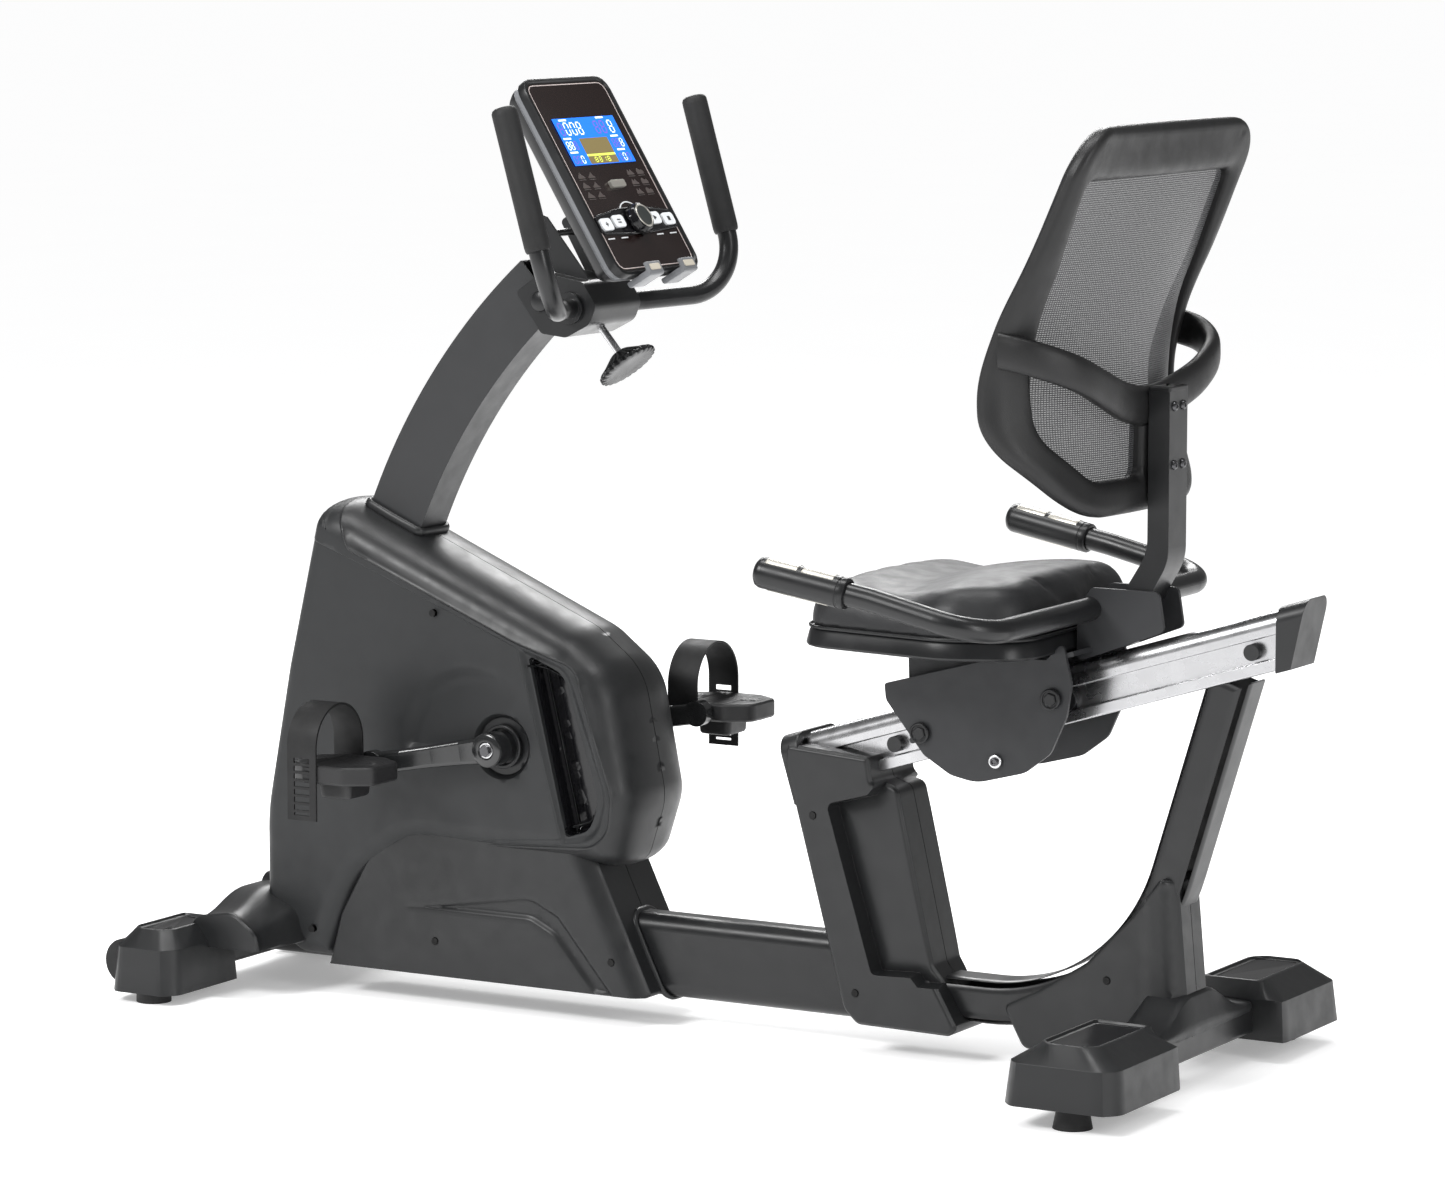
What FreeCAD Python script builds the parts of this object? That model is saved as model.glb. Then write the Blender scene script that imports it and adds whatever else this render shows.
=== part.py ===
import FreeCAD, Part
import math
import os
from FreeCAD import Placement, Rotation, Vector

# Recumbent exercise bike, millimetres. +X points to the rear (the seat end), +Z is up,
# -Y is the rider's left. The origin is on the floor, in the middle of the overall box.

DIMENSIONS = [
    ("main_tube_width", 56), ("main_tube_height", 106),
    ("rail_angle", 17.1), ("rail_width", 64), ("rail_height", 70), ("rail_length", 700),
    ("rail_cut", 664), ("rail_cap_end", 791), ("origin_shift", 17),
    ("groove_depth", 10), ("groove_low", 14.5), ("groove_high", 42.5),
    ("rear_tube_width", 64), ("rear_tube_depth", 56), ("rear_bend_radius", 260),
    ("beam_depth", 60), ("beam_height", 36), ("front_beam_length", 430), ("rear_beam_length", 540),
    ("housing_half_width", 88), ("skirt_half_width", 75), ("wall", 3), ("rim_radius", 26),
    ("mast_width", 60), ("mast_depth", 82), ("mast_radius", 820),
    ("tube_wall", 2.5),
    ("crank_length", 170), ("crank_angle", 9.6), ("axle_radius", 10), ("bore_clearance", 0.05),
    ("arm_side", 131), ("pedal_side", 195), ("pedal_length", 126), ("pedal_width", 104),
    ("pedal_height", 24), ("pin_radius", 7), ("strap_width", 44), ("strap_thickness", 3),
    ("pulley_radius", 110), ("small_pulley_radius", 14), ("flywheel_radius", 112),
    ("flywheel_width", 28), ("belt_side", 58), ("belt_width", 12),
    ("belt_thickness", 3), ("idler_radius", 16),
    ("plate_side", 80), ("plate_thickness", 5), ("roller_radius", 13.7), ("roller_width", 9),
    ("seat_tube_radius", 14.3), ("seat_grip_radius", 19), ("seat_grip_length", 122),
    ("post_width", 50), ("post_depth", 28), ("back_thickness", 30), ("mesh_thickness", 2),
    ("bar_radius", 12.5), ("foam_radius", 16.5), ("knob_radius", 42),
    ("console_width", 204), ("console_height", 285), ("console_depth", 40),
    ("console_tilt", -31.5), ("dial_radius", 20), ("key_travel", 1.2), ("gap", 0.3),
    ("foot_radius", 24), ("foot_side", 292), ("wheel_radius", 30), ("wheel_width", 20),
]

doc = FreeCAD.newDocument("recumbent_bike")
sheet = doc.addObject("Spreadsheet::Sheet", "dims")
for row, (alias, value) in enumerate(DIMENSIONS, start=1):
    sheet.set("A%d" % row, alias)
    sheet.set("B%d" % row, str(value))
    sheet.setAlias("B%d" % row, alias)
doc.recompute()

NODES = []
UP = Vector(0, 0, 1)
ACROSS = Vector(0, 1, 0)
ALONG = Vector(1, 0, 0)
SIDES = {"left": -1, "right": 1}


def dim(alias):
    """A driving dimension, in millimetres or degrees."""
    return float(sheet.get(alias))


# ---------------------------------------------------------------- outlines and solids

def rounded(points, radii):
    """Closed outline through points (u, v), each corner turned by a tangent arc of its radius."""
    if isinstance(radii, (int, float)):
        radii = [radii] * len(points)
    corners = [Vector(u, v, 0) for u, v in points]
    starts, ends, mids = [], [], []
    for i, corner in enumerate(corners):
        back = (corners[i - 1] - corner).normalize()
        ahead = (corners[(i + 1) % len(corners)] - corner).normalize()
        half = back.getAngle(ahead) / 2
        if radii[i] < 0.01:
            starts.append(corner)
            ends.append(corner)
            mids.append(None)
            continue
        reach = radii[i] / math.tan(half)
        centre = corner + (back + ahead).normalize() * (radii[i] / math.sin(half))
        starts.append(corner + back * reach)
        ends.append(corner + ahead * reach)
        mids.append(centre + (corner - centre).normalize() * radii[i])
    edges = []
    for i in range(len(corners)):
        if mids[i] is not None:
            edges.append(Part.Arc(starts[i], mids[i], ends[i]))
        following = starts[(i + 1) % len(corners)]
        if (following - ends[i]).Length > 1e-6:
            edges.append(Part.LineSegment(ends[i], following))
    return edges


def rectangle(low_u, low_v, high_u, high_v):
    """Corner points of a rectangle, for rounded()."""
    return [(low_u, low_v), (high_u, low_v), (high_u, high_v), (low_u, high_v)]


def side_face(edges, y=0.0):
    """Face in an XZ plane at y, from outline edges drawn in (x, z)."""
    wire = Part.Wire(Part.__sortEdges__([edge.toShape() for edge in edges]))
    wire.Placement = Placement(Vector(0, y, 0), Rotation(ALONG, 90))
    return Part.Face(wire)


def side_prism(edges, y_from, y_to):
    """Solid whose outline lies in the XZ plane, from y_from to y_to."""
    return side_face(edges, y_from).extrude(Vector(0, y_to - y_from, 0))


def plan_prism(edges, z_from, z_to):
    """Solid whose outline lies in the XY plane, from z_from to z_to."""
    wire = Part.Wire(Part.__sortEdges__([edge.toShape() for edge in edges]))
    wire.translate(Vector(0, 0, z_from))
    return Part.Face(wire).extrude(Vector(0, 0, z_to - z_from))


def block(x_from, x_to, y_from, y_to, z_from, z_to):
    """Axis-aligned box between two corners."""
    return Part.makeBox(x_to - x_from, y_to - y_from, z_to - z_from, Vector(x_from, y_from, z_from))


def disc(centre, radius, half_width, axis=ACROSS):
    """Cylinder centred on a point, with its axis across the bike unless told otherwise."""
    start = Vector(*centre) - Vector(axis).normalize() * half_width
    return Part.makeCylinder(radius, 2 * half_width, start, axis)


def ring(centre, outer, inner, half_width, axis=ACROSS):
    """Disc with a concentric bore."""
    return disc(centre, outer, half_width, axis).cut(disc(centre, inner, half_width + 1, axis))


def bent_path(points, radii):
    """Straight runs joined by tangent arcs through 3-D points."""
    corners = [Vector(*point) for point in points]
    edges = []
    current = corners[0]
    for i in range(1, len(corners) - 1):
        corner = corners[i]
        back = (corners[i - 1] - corner).normalize()
        ahead = (corners[i + 1] - corner).normalize()
        half = back.getAngle(ahead) / 2
        reach = radii[i - 1] / math.tan(half)
        centre = corner + (back + ahead).normalize() * (radii[i - 1] / math.sin(half))
        start = corner + back * reach
        end = corner + ahead * reach
        middle = centre + (corner - centre).normalize() * radii[i - 1]
        edges.append(Part.LineSegment(current, start).toShape())
        edges.append(Part.Arc(start, middle, end).toShape())
        current = end
    edges.append(Part.LineSegment(current, corners[-1]).toShape())
    return Part.Wire(edges)


def tube_along(path, radius, bore=0.0):
    """Round bar or tube swept along a path of runs and arcs."""
    first = path.Edges[0]
    start = first.valueAt(first.FirstParameter)
    heading = first.tangentAt(first.FirstParameter)
    section = Part.Wire(Part.makeCircle(radius, start, heading))
    solid = path.makePipeShell([section], True, False)
    if bore > 0:
        inner = Part.Wire(Part.makeCircle(bore, start, heading))
        solid = solid.cut(path.makePipeShell([inner], True, False))
    return solid


# ---------------------------------------------------------------- document objects

def keep(obj, node):
    """Register a document object as the sub-part that its label names."""
    obj.Label = node
    NODES.append(obj)
    return obj


def feature(node, shape, placement=None):
    """Sub-part whose shape is built from the sheet's values."""
    obj = doc.addObject("Part::Feature", node)
    obj.Shape = shape
    if placement is not None:
        obj.Placement = placement
    return keep(obj, node)


def group(node, shapes, placement=None):
    """Sub-part made of several separate solids."""
    return feature(node, Part.makeCompound(shapes), placement)


def origin_plane(body, role):
    """One of the body's own origin planes."""
    return [item for item in body.Origin.OriginFeatures if item.Role == role][0]


def sketched(body, name, role, edges):
    """Sketch on an origin plane of the body."""
    sketch = body.newObject("Sketcher::SketchObject", name)
    sketch.AttachmentSupport = (origin_plane(body, role), [""])
    sketch.MapMode = "FlatFace"
    for edge in edges:
        sketch.addGeometry(edge)
    return sketch


def padded(node, edges, length, placement=None, role="XZ_Plane"):
    """Body with one sketch, padded evenly to both sides by a length from the sheet."""
    body = doc.addObject("PartDesign::Body", node)
    sketch = sketched(body, node + "_outline", role, edges)
    pad = body.newObject("PartDesign::Pad", node + "_pad")
    pad.Profile = sketch
    pad.SideType = "Symmetric"
    pad.setExpression("Length", length)
    if placement is not None:
        body.Placement = placement
    keep(body, node)
    return body


def pocketed(body, name, edges, depth=400.0, role="XZ_Plane"):
    """Cut through the body along its pad direction."""
    sketch = sketched(body, name + "_outline", role, edges)
    pocket = body.newObject("PartDesign::Pocket", name)
    pocket.Profile = sketch
    pocket.SideType = "Symmetric"
    pocket.Length = depth
    return pocket


def circle_edge(u, v, radius):
    """Round outline for a sketch."""
    return [Part.Circle(Vector(u, v, 0), UP, radius)]


# ---------------------------------------------------------------- key points

GAP = dim("gap")
RAIL_TURN = Rotation(ACROSS, -dim("rail_angle"))
RAIL_FOOT = Vector(129.6, 0, 328)
RAIL_FRAME = Placement(RAIL_FOOT, RAIL_TURN)
CRANK = (-307, 352)
FLYWHEEL = (-546, 258)
HEAD = (-218, 918)
FRONT_BEAM = (-755, 48)
REAR_BEAM = (616, 53)
CONSOLE = Placement(Vector(-115, 0, 965), Rotation(ACROSS, dim("console_tilt")))
CONSOLE_HINGE = (-262, 1010)
BRAKE_PIVOT = (-540, 394)


def on_rail(along, up):
    """Point in the XZ plane at a distance along the rail and up from its underside."""
    point = RAIL_FOOT + RAIL_TURN.multVec(Vector(along, 0, up))
    return (point.x, point.z)


def upright_cut(station, low, high):
    """Two points, in the rail's frame, of the plumb line that crosses its underside at a station."""
    lean = math.tan(math.radians(dim("rail_angle")))
    return (station + low * lean, low), (station + high * lean, high)


def crank_end(side):
    """Pedal axle position in the XZ plane; the left crank points forward."""
    angle = math.radians(dim("crank_angle"))
    reach = dim("crank_length")
    return (CRANK[0] + side * reach * math.cos(angle), CRANK[1] + side * reach * math.sin(angle))


# ---------------------------------------------------------------- base frame

def main_tube():
    """Low rounded tube from the front beam to the rail post."""
    half = dim("main_tube_width") / 2
    low = 35
    high = low + dim("main_tube_height")
    body = doc.addObject("PartDesign::Body", "main_tube")
    sketch = sketched(body, "main_tube_section", "YZ_Plane", rounded(rectangle(-half, low, half, high), 20))
    pad = body.newObject("PartDesign::Pad", "main_tube_pad")
    pad.Profile = sketch
    pad.Length = 934
    inner = rounded(rectangle(-half + 3, low + 3, half - 3, high - 3), 17)
    hollow = sketched(body, "main_tube_hollow", "YZ_Plane", inner)
    pocket = body.newObject("PartDesign::Pocket", "main_tube_bore")
    pocket.Profile = hollow
    pocket.Length = 934
    pocket.Reversed = True
    body.Placement = Placement(Vector(-725, 0, 0), Rotation())
    keep(body, "main_tube")


def beam(node, centre, length):
    """Square stabiliser tube across the bike."""
    depth = dim("beam_depth") / 2
    height = dim("beam_height") / 2
    corners = rectangle(centre[0] - depth, centre[1] - height, centre[0] + depth, centre[1] + height)
    outer = rounded(corners, 5)
    inner_points = rectangle(centre[0] - depth + 3, centre[1] - height + 3,
                             centre[0] + depth - 3, centre[1] + height - 3)
    body = padded(node, outer, "dims." + length)
    pocketed(body, node + "_bore", rounded(inner_points, 3), 900)


def post_outline(clearance=0.0):
    """Rail post in side view, square to the rail, from the main tube up to the rail."""
    back = RAIL_TURN.multVec(UP)
    half = 25 + clearance
    foot = Vector(225, 0, 141)
    across = RAIL_TURN.multVec(ALONG) * half
    length = (on_rail(60, 0)[1] - 141) / back.z
    top = foot + back * length
    corners = [foot - across, foot + across, top + across, top - across]
    return [(corner.x, corner.z) for corner in corners]


def rail_post():
    """Square tube that carries the front of the rail."""
    prism = side_prism(rounded(post_outline(), 0), -25, 25)
    below = block(100, 400, -60, 60, 60, 141)
    rail = rail_solid(0)
    feature("rail_post", prism.cut(below).cut(rail))


def rail_solid(clearance):
    """Envelope of the rail without its grooves, in the bike's frame."""
    half = dim("rail_width") / 2 + clearance
    solid = block(-clearance, dim("rail_length"), -half, half, -clearance, dim("rail_height") + clearance)
    solid.Placement = RAIL_FRAME
    return solid


def seat_rail():
    """Extrusion with crowned top edges and a roller groove in each side."""
    half = dim("rail_width") / 2
    inner = half - dim("groove_depth")
    low = dim("groove_low")
    high = dim("groove_high")
    top = dim("rail_height")
    points = [(-half, 0), (half, 0), (half, low), (inner, low), (inner, high), (half, high),
              (half, top), (-half, top), (-half, high), (-inner, high), (-inner, low), (-half, low)]
    radii = [2, 2, 1, 1, 1, 1, 18, 18, 1, 1, 1, 1]
    body = doc.addObject("PartDesign::Body", "seat_rail")
    sketch = sketched(body, "rail_section", "YZ_Plane", rounded(points, radii))
    pad = body.newObject("PartDesign::Pad", "rail_pad")
    pad.Profile = sketch
    pad.setExpression("Length", "dims.rail_length")
    chambers = [rectangle(-half + 6, 3.5, half - 6, low - 3.5),
                rectangle(-inner + 4, low + 1, inner - 4, high - 1),
                rectangle(-half + 9, high + 3.5, half - 9, top - 5)]
    for index, chamber in enumerate(chambers):
        hollow = sketched(body, "rail_chamber_%d" % index, "YZ_Plane", rounded(chamber, 2))
        pocket = body.newObject("PartDesign::Pocket", "rail_bore_%d" % index)
        pocket.Profile = hollow
        pocket.setExpression("Length", "dims.rail_length")
        pocket.Reversed = True
    low_end, high_end = upright_cut(dim("rail_cut"), -10, 90)
    beyond = dim("rail_length") + 20
    pocketed(body, "rail_end", rounded([low_end, (beyond, -10), (beyond, 90), high_end], 0))
    body.Placement = RAIL_FRAME
    keep(body, "seat_rail")


REAR_TUBE_LINE = 76.0
REAR_BEND_START = 365.0
REAR_RISE = 73.0


def rear_tube_solid(clearance, start_x):
    """Rounded tube that runs back from the post covers and sweeps up under the rail."""
    half_width = dim("rear_tube_width") / 2 + clearance
    half_depth = dim("rear_tube_depth") / 2 + clearance
    radius = dim("rear_bend_radius")
    turn = math.radians(REAR_RISE)
    section = [Vector(start_x, u, REAR_TUBE_LINE + v) for u, v in
               [(-half_width, -half_depth), (half_width, -half_depth),
                (half_width, half_depth), (-half_width, half_depth)]]
    face = Part.Face(Part.makePolygon(section + section[:1]))
    straight = face.extrude(Vector(REAR_BEND_START - start_x, 0, 0))
    bend_face = face.copy()
    bend_face.translate(Vector(REAR_BEND_START - start_x, 0, 0))
    centre = Vector(REAR_BEND_START, 0, REAR_TUBE_LINE + radius)
    bend = bend_face.revolve(centre, Vector(0, -1, 0), REAR_RISE)
    riser_face = bend_face.copy()
    riser_face.rotate(centre, Vector(0, -1, 0), REAR_RISE)
    riser = riser_face.extrude(Vector(math.cos(turn), 0, math.sin(turn)) * 260)
    whole = straight.fuse([bend, riser]).removeSplitter()
    if clearance == 0:
        long_edges = [edge for edge in whole.Edges if edge.Length > 50
                      and abs(abs(edge.valueAt(edge.FirstParameter).y) - half_width) < 0.01
                      and abs(edge.tangentAt(edge.FirstParameter).y) < 0.01]
        whole = whole.makeFillet(16, long_edges)
    return whole


def rear_tube():
    """Rear curved tube, cut to the underside of the rail and to the rail post."""
    under = Part.makeBox(900, 200, 400)
    under.Placement = RAIL_FRAME.multiply(Placement(Vector(-100, -100, 0), Rotation()))
    bore = rear_tube_solid(-dim("tube_wall"), 200)
    tube = rear_tube_solid(0, 209).cut(under).cut(bore)
    feature("rear_tube", tube)


def drive_frame():
    """Inner steel work: bearing shell, flywheel plates, fixed axle, pins and brake motor."""
    shell = ring((CRANK[0], 0, CRANK[1]), 27, 21, 50)
    post = block(CRANK[0] - 25, CRANK[0] + 25, -22, 22, 141, CRANK[1] - 20)
    outline = rounded([(-640, 141), (-420, 141), (-500, 280), (-510, 415), (-575, 415), (-600, 280)], 8)
    near_plate = side_prism(outline, -27, -22)
    far_plate = side_prism(outline, 66, 70)
    foot = block(-620, -440, 20, 70, 141, 146)
    axle = Part.makeCylinder(6, 97, Vector(FLYWHEEL[0], -27, FLYWHEEL[1]), ACROSS)
    pivot = Part.makeCylinder(4, 97, Vector(BRAKE_PIVOT[0], -27, BRAKE_PIVOT[1]), ACROSS)
    idler_x, idler_z = idler_centre()
    idler_pin = disc((idler_x, 45, idler_z), 4, 23)
    arm = side_prism(rounded([(CRANK[0] - 20, 150), (idler_x - 10, idler_z - 12),
                              (idler_x - 10, idler_z + 12), (CRANK[0] - 20, 225)], 3), 17, 22)
    motor = block(-500, -440, -60, -27, 290, 340)
    motor_foot = block(-530, -440, -27, -22, 290, 340)
    crank_side = post.cut(disc((CRANK[0], 0, CRANK[1]), 27, 60)).fuse([shell, arm, idler_pin])
    wheel_side = near_plate.fuse([far_plate, foot, axle, pivot, motor, motor_foot])
    group("drive_frame", [crank_side, wheel_side])


def crank_bearings():
    """Two bearing rings in the ends of the bearing shell."""
    bore = dim("axle_radius") + dim("bore_clearance")
    group("crank_bearings", [ring((CRANK[0], side * 43, CRANK[1]), 21, bore, 7) for side in (-1, 1)])


# ---------------------------------------------------------------- housing

def upper_outline(inset):
    """Main housing in side view: crowned top, round back, front leg down to the floor beam."""
    points = [(-640, 40), (-692, 70), (-692, 240), (-655, 435), (-604, 650), (-560, 655), (-455, 609),
              (-212, 505), (-143, 452), (-111, 290), (-140, 200), (-450, 205), (-530, 150), (-577, 40)]
    radii = [20, 30, 300, 300, 32, 60, 200, 90, 90, 75, 34, 70, 90, 2]
    face = Part.Face(Part.Wire(Part.__sortEdges__([edge.toShape() for edge in rounded(points, radii)])))
    if inset > 0:
        face = face.makeOffset2D(-inset)
        face = Part.Face(face.Wires[0]) if face.ShapeType != "Face" else face
    return face


def skirt_outline(inset):
    """Lower skirt of the housing in side view."""
    points = [(-560, 40 + inset), (-97 - inset, 40 + inset), (-195 - inset, 235), (-440, 235),
              (-520, 170), (-590, 60)]
    edges = rounded(points, [4, 6, 6, 20, 60, 10])
    return Part.Face(Part.Wire(Part.__sortEdges__([edge.toShape() for edge in edges])))


def half_solid(face, half_width, rim, side):
    """Half of a housing body, with a rounded rim around its outer face."""
    upright = face.copy()
    upright.Placement = Placement(Vector(0, 0, 0), Rotation(ALONG, 90))
    solid = upright.extrude(Vector(0, side * half_width, 0))
    if rim > 0:
        outer_edges = [edge for edge in solid.Edges
                       if all(abs(abs(vertex.Y) - half_width) < 0.01 for vertex in edge.Vertexes)]
        solid = solid.makeFillet(rim, outer_edges)
    return solid


def housing_envelope(side, inset):
    """Outer (inset 0) or inner body of one half of the housing."""
    rim = dim("rim_radius") - inset
    upper = half_solid(upper_outline(inset), dim("housing_half_width") - inset, rim, side)
    skirt = half_solid(skirt_outline(inset), dim("skirt_half_width") - inset, 0, side)
    return upper.fuse(skirt)


def mast_envelope(clearance):
    """Body of the mast as a bent bar."""
    return side_prism(mast_outline(clearance), -dim("mast_width") / 2 - clearance,
                      dim("mast_width") / 2 + clearance)


def housing_half(side_name):
    """One thin moulded half, open where the mast, tubes and crank pass."""
    side = SIDES[side_name]
    wall = dim("wall")
    shell = housing_envelope(side, 0).cut(housing_envelope(side, wall))
    half_tube = dim("main_tube_width") / 2 + GAP
    tube = block(-760, 0, -half_tube, half_tube, 20, 35 + dim("main_tube_height") + GAP)
    crank_hole = disc((CRANK[0], side * 90, CRANK[1]), 30, 30)
    shell = shell.cut(tube).cut(crank_hole).cut(mast_envelope(GAP))
    feature("housing_" + side_name, shell)


def front_shroud():
    """Moulded hood over the front beam, on both sides of the housing."""
    end = [(-737, 40), (-737, 103), (-672, 113), (-637, 88), (-631, 40)]
    root = [(-745, 42), (-745, 128), (-687, 135), (-628, 112), (-615, 42)]

    def section(points, y):
        corners = [Vector(x, y, z) for x, z in points]
        return Part.makePolygon(corners + corners[:1])

    solids = []
    for y_from, from_points, y_to, to_points in [(-172, end, -74, root), (-74, root, 74, root),
                                                 (74, root, 172, end)]:
        solids.append(Part.makeLoft([section(from_points, y_from), section(to_points, y_to)], True, True))
    hood = solids[0].fuse(solids[1:]).removeSplitter()
    hood = hood.cut(block(-900, -646, -300, 300, 0, 97))
    for side in (-1, 1):
        hood = hood.cut(housing_envelope(side, 0))
    half_tube = dim("main_tube_width") / 2 + GAP
    hood = hood.cut(block(-800, 0, -half_tube, half_tube, 20, 35 + dim("main_tube_height") + GAP))
    hood = hood.cut(block(-700, -600, -74, 74, 20, 200))
    feature("front_shroud", hood)


# ---------------------------------------------------------------- mast

MAST_FOOT = (-501, 638)
MAST_START = 67.5
MAST_END = 41.0


def mast_outline(clearance=0.0):
    """Curved bar in side view, between two arcs about one centre."""
    radius = dim("mast_radius")
    half = dim("mast_depth") / 2 + clearance
    start = math.radians(MAST_START + 7)
    end = math.radians(MAST_END)
    foot = math.radians(MAST_START)
    centre = Vector(MAST_FOOT[0] + radius * math.sin(foot), MAST_FOOT[1] - radius * math.cos(foot), 0)

    def at(angle, distance):
        return centre + Vector(-math.sin(angle), math.cos(angle), 0) * distance

    middle = (start + end) / 2
    outer = Part.Arc(at(start, radius + half), at(middle, radius + half), at(end, radius + half))
    inner = Part.Arc(at(end, radius - half), at(middle, radius - half), at(start, radius - half))
    return [outer, Part.LineSegment(at(end, radius + half), at(end, radius - half)), inner,
            Part.LineSegment(at(start, radius - half), at(start, radius + half))]


HEAD_OUTLINE = [(-300, 935), (-262, 884), (-225, 880), (-190, 898), (-180, 922), (-200, 952), (-262, 962)]


def mast():
    """Curved steel mast, hidden foot included."""
    body = padded("mast", mast_outline(), "dims.mast_width")
    inside = dim("mast_width") - 2 * dim("tube_wall")
    pocketed(body, "mast_bore", mast_outline(-dim("tube_wall")), inside)


def bar_head():
    """Clamp block on the mast: a saddle with a bore for the handlebar."""
    block_solid = side_prism(rounded(HEAD_OUTLINE, [6, 10, 14, 18, 14, 14, 14]), -56, 56)
    bore = disc((HEAD[0], 0, HEAD[1]), dim("bar_radius") + 7.5 + dim("bore_clearance"), 80)
    stem = disc(KNOB_SEAT, 5 + dim("bore_clearance"), 24, KNOB_AXIS)
    bracket = [side_prism(rounded([(-240, 940), (-200, 952), (-268, 1035), (-288, 1022)], 6),
                          side * 34, side * 37) for side in (-1, 1)]
    whole = block_solid.fuse(bracket).cut(bore).cut(stem)
    pin = disc((CONSOLE_HINGE[0], 0, CONSOLE_HINGE[1]), 5, 37)
    whole = whole.cut(mast_envelope(0)).fuse(pin)
    feature("bar_head", whole)


KNOB_AXIS = Vector(math.cos(math.radians(-50)), 0, math.sin(math.radians(-50)))
KNOB_SEAT = (-203, 0, 886)


def clamp_knob():
    """Ribbed oval knob on a steel stem, square to the head."""
    stem = disc(tuple(Vector(*KNOB_SEAT) + KNOB_AXIS * 14), 5, 22, KNOB_AXIS)
    centre = Vector(*KNOB_SEAT) + KNOB_AXIS * 46
    body = Part.makeCone(12, dim("knob_radius"), 16, centre - KNOB_AXIS * 10, KNOB_AXIS)
    rim = Part.makeCylinder(dim("knob_radius"), 6, centre + KNOB_AXIS * 6, KNOB_AXIS)
    feature("clamp_knob", stem.fuse([body, rim]).removeSplitter())


def handlebar_points(side):
    """Centre line of one half of the handlebar."""
    return [(HEAD[0], 0, HEAD[1]), (HEAD[0] + 4, side * 82, HEAD[1]), (-134, side * 232, 926),
            (-204.5, side * 232, 1173)]


def handlebar():
    """U-shaped bar: across through the head, then out and up on both sides."""
    halves = []
    for side in (-1, 1):
        path = bent_path(handlebar_points(side), [70, 70])
        halves.append(tube_along(path, dim("bar_radius"), dim("bar_radius") - dim("tube_wall")))
    sleeve = disc((HEAD[0], 0, HEAD[1]), dim("bar_radius") + 7.5, 62)
    feature("handlebar", halves[0].fuse([halves[1], sleeve]))


def handlebar_foam():
    """Two long foam grips on the upright parts of the bar."""
    foams = []
    length = 184
    end_skin = 5.2
    room = dim("bar_radius") + dim("bore_clearance")
    for side in (-1, 1):
        tip = Vector(-204.5, side * 232, 1173)
        direction = (Vector(-134, side * 232, 926) - tip).normalize()
        top = tip - direction * end_skin
        outer = Part.makeCylinder(dim("foam_radius"), length, top, direction)
        inner = Part.makeCylinder(room, length, tip - direction * GAP, direction)
        foams.append(outer.cut(inner))
    group("handlebar_foam", foams)


# ---------------------------------------------------------------- console

KEY_SPOTS = [(-76, 72), (-44, 75), (44, 75), (76, 72)]
KEY_SIZE = (26, 17)
PILL_SPOT = (0, 128)
PILL_SIZE = (34, 10)
DIAL_HEIGHT = 74


def console_housing():
    """Console body with a screen recess, key pockets, a dial seat and two device clips."""
    half = dim("console_width") / 2
    depth = dim("console_depth")
    tall = dim("console_height")
    body = block(-depth, 0, -half, half, 0, tall)
    upright = [edge for edge in body.Edges if abs(edge.tangentAt(0).x) > 0.9]
    body = body.makeFillet(20, upright)
    back_rim = [edge for edge in body.Edges
                if all(abs(vertex.X + depth) < 0.01 for vertex in edge.Vertexes)]
    body = body.makeFillet(12, back_rim)
    body = body.cut(block(-2.5, 5, -74, 74, 158, 226))
    for y, height in KEY_SPOTS:
        body = body.cut(key_block(y, height, KEY_SIZE, -6, 5, GAP))
    body = body.cut(key_block(PILL_SPOT[0], PILL_SPOT[1], PILL_SIZE, -6, 5, GAP))
    body = body.cut(disc((-5, 0, DIAL_HEIGHT), 4 + dim("bore_clearance"), 6, ALONG))
    neck = block(-depth - 34, -depth, -33.7, 33.7, 60, 130)
    neck = neck.cut(block(-depth - 60, -depth - 3, -30, 30, 50, 140))
    ears = block(-depth - 34, -depth - 1, -33.7, -30, 60, 130)
    clips = [block(-22, 16, side * 42 - 17, side * 42 + 17, -9, 0).fuse(
        block(12, 16, side * 42 - 17, side * 42 + 17, -9, 9)) for side in (-1, 1)]
    whole = body.fuse([neck, ears] + clips).removeSplitter()
    local_hinge = CONSOLE.inverse().multVec(Vector(CONSOLE_HINGE[0], 0, CONSOLE_HINGE[1]))
    whole = whole.cut(disc(tuple(local_hinge), 5 + dim("bore_clearance"), 60))
    feature("console_housing", whole, CONSOLE)


def key_block(y, height, size, x_from, x_to, clearance):
    """Rounded key or its pocket on the console face."""
    outline = rounded(rectangle(-size[0] / 2 - clearance, -size[1] / 2 - clearance,
                                size[0] / 2 + clearance, size[1] / 2 + clearance),
                      min(size) * 0.3 + clearance)
    wire = Part.Wire(Part.__sortEdges__([edge.toShape() for edge in outline]))
    wire.Placement = Placement(Vector(x_from, y, height), Rotation(Vector(0, 1, 0), UP, ALONG))
    return Part.Face(wire).extrude(Vector(x_to - x_from, 0, 0))


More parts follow.
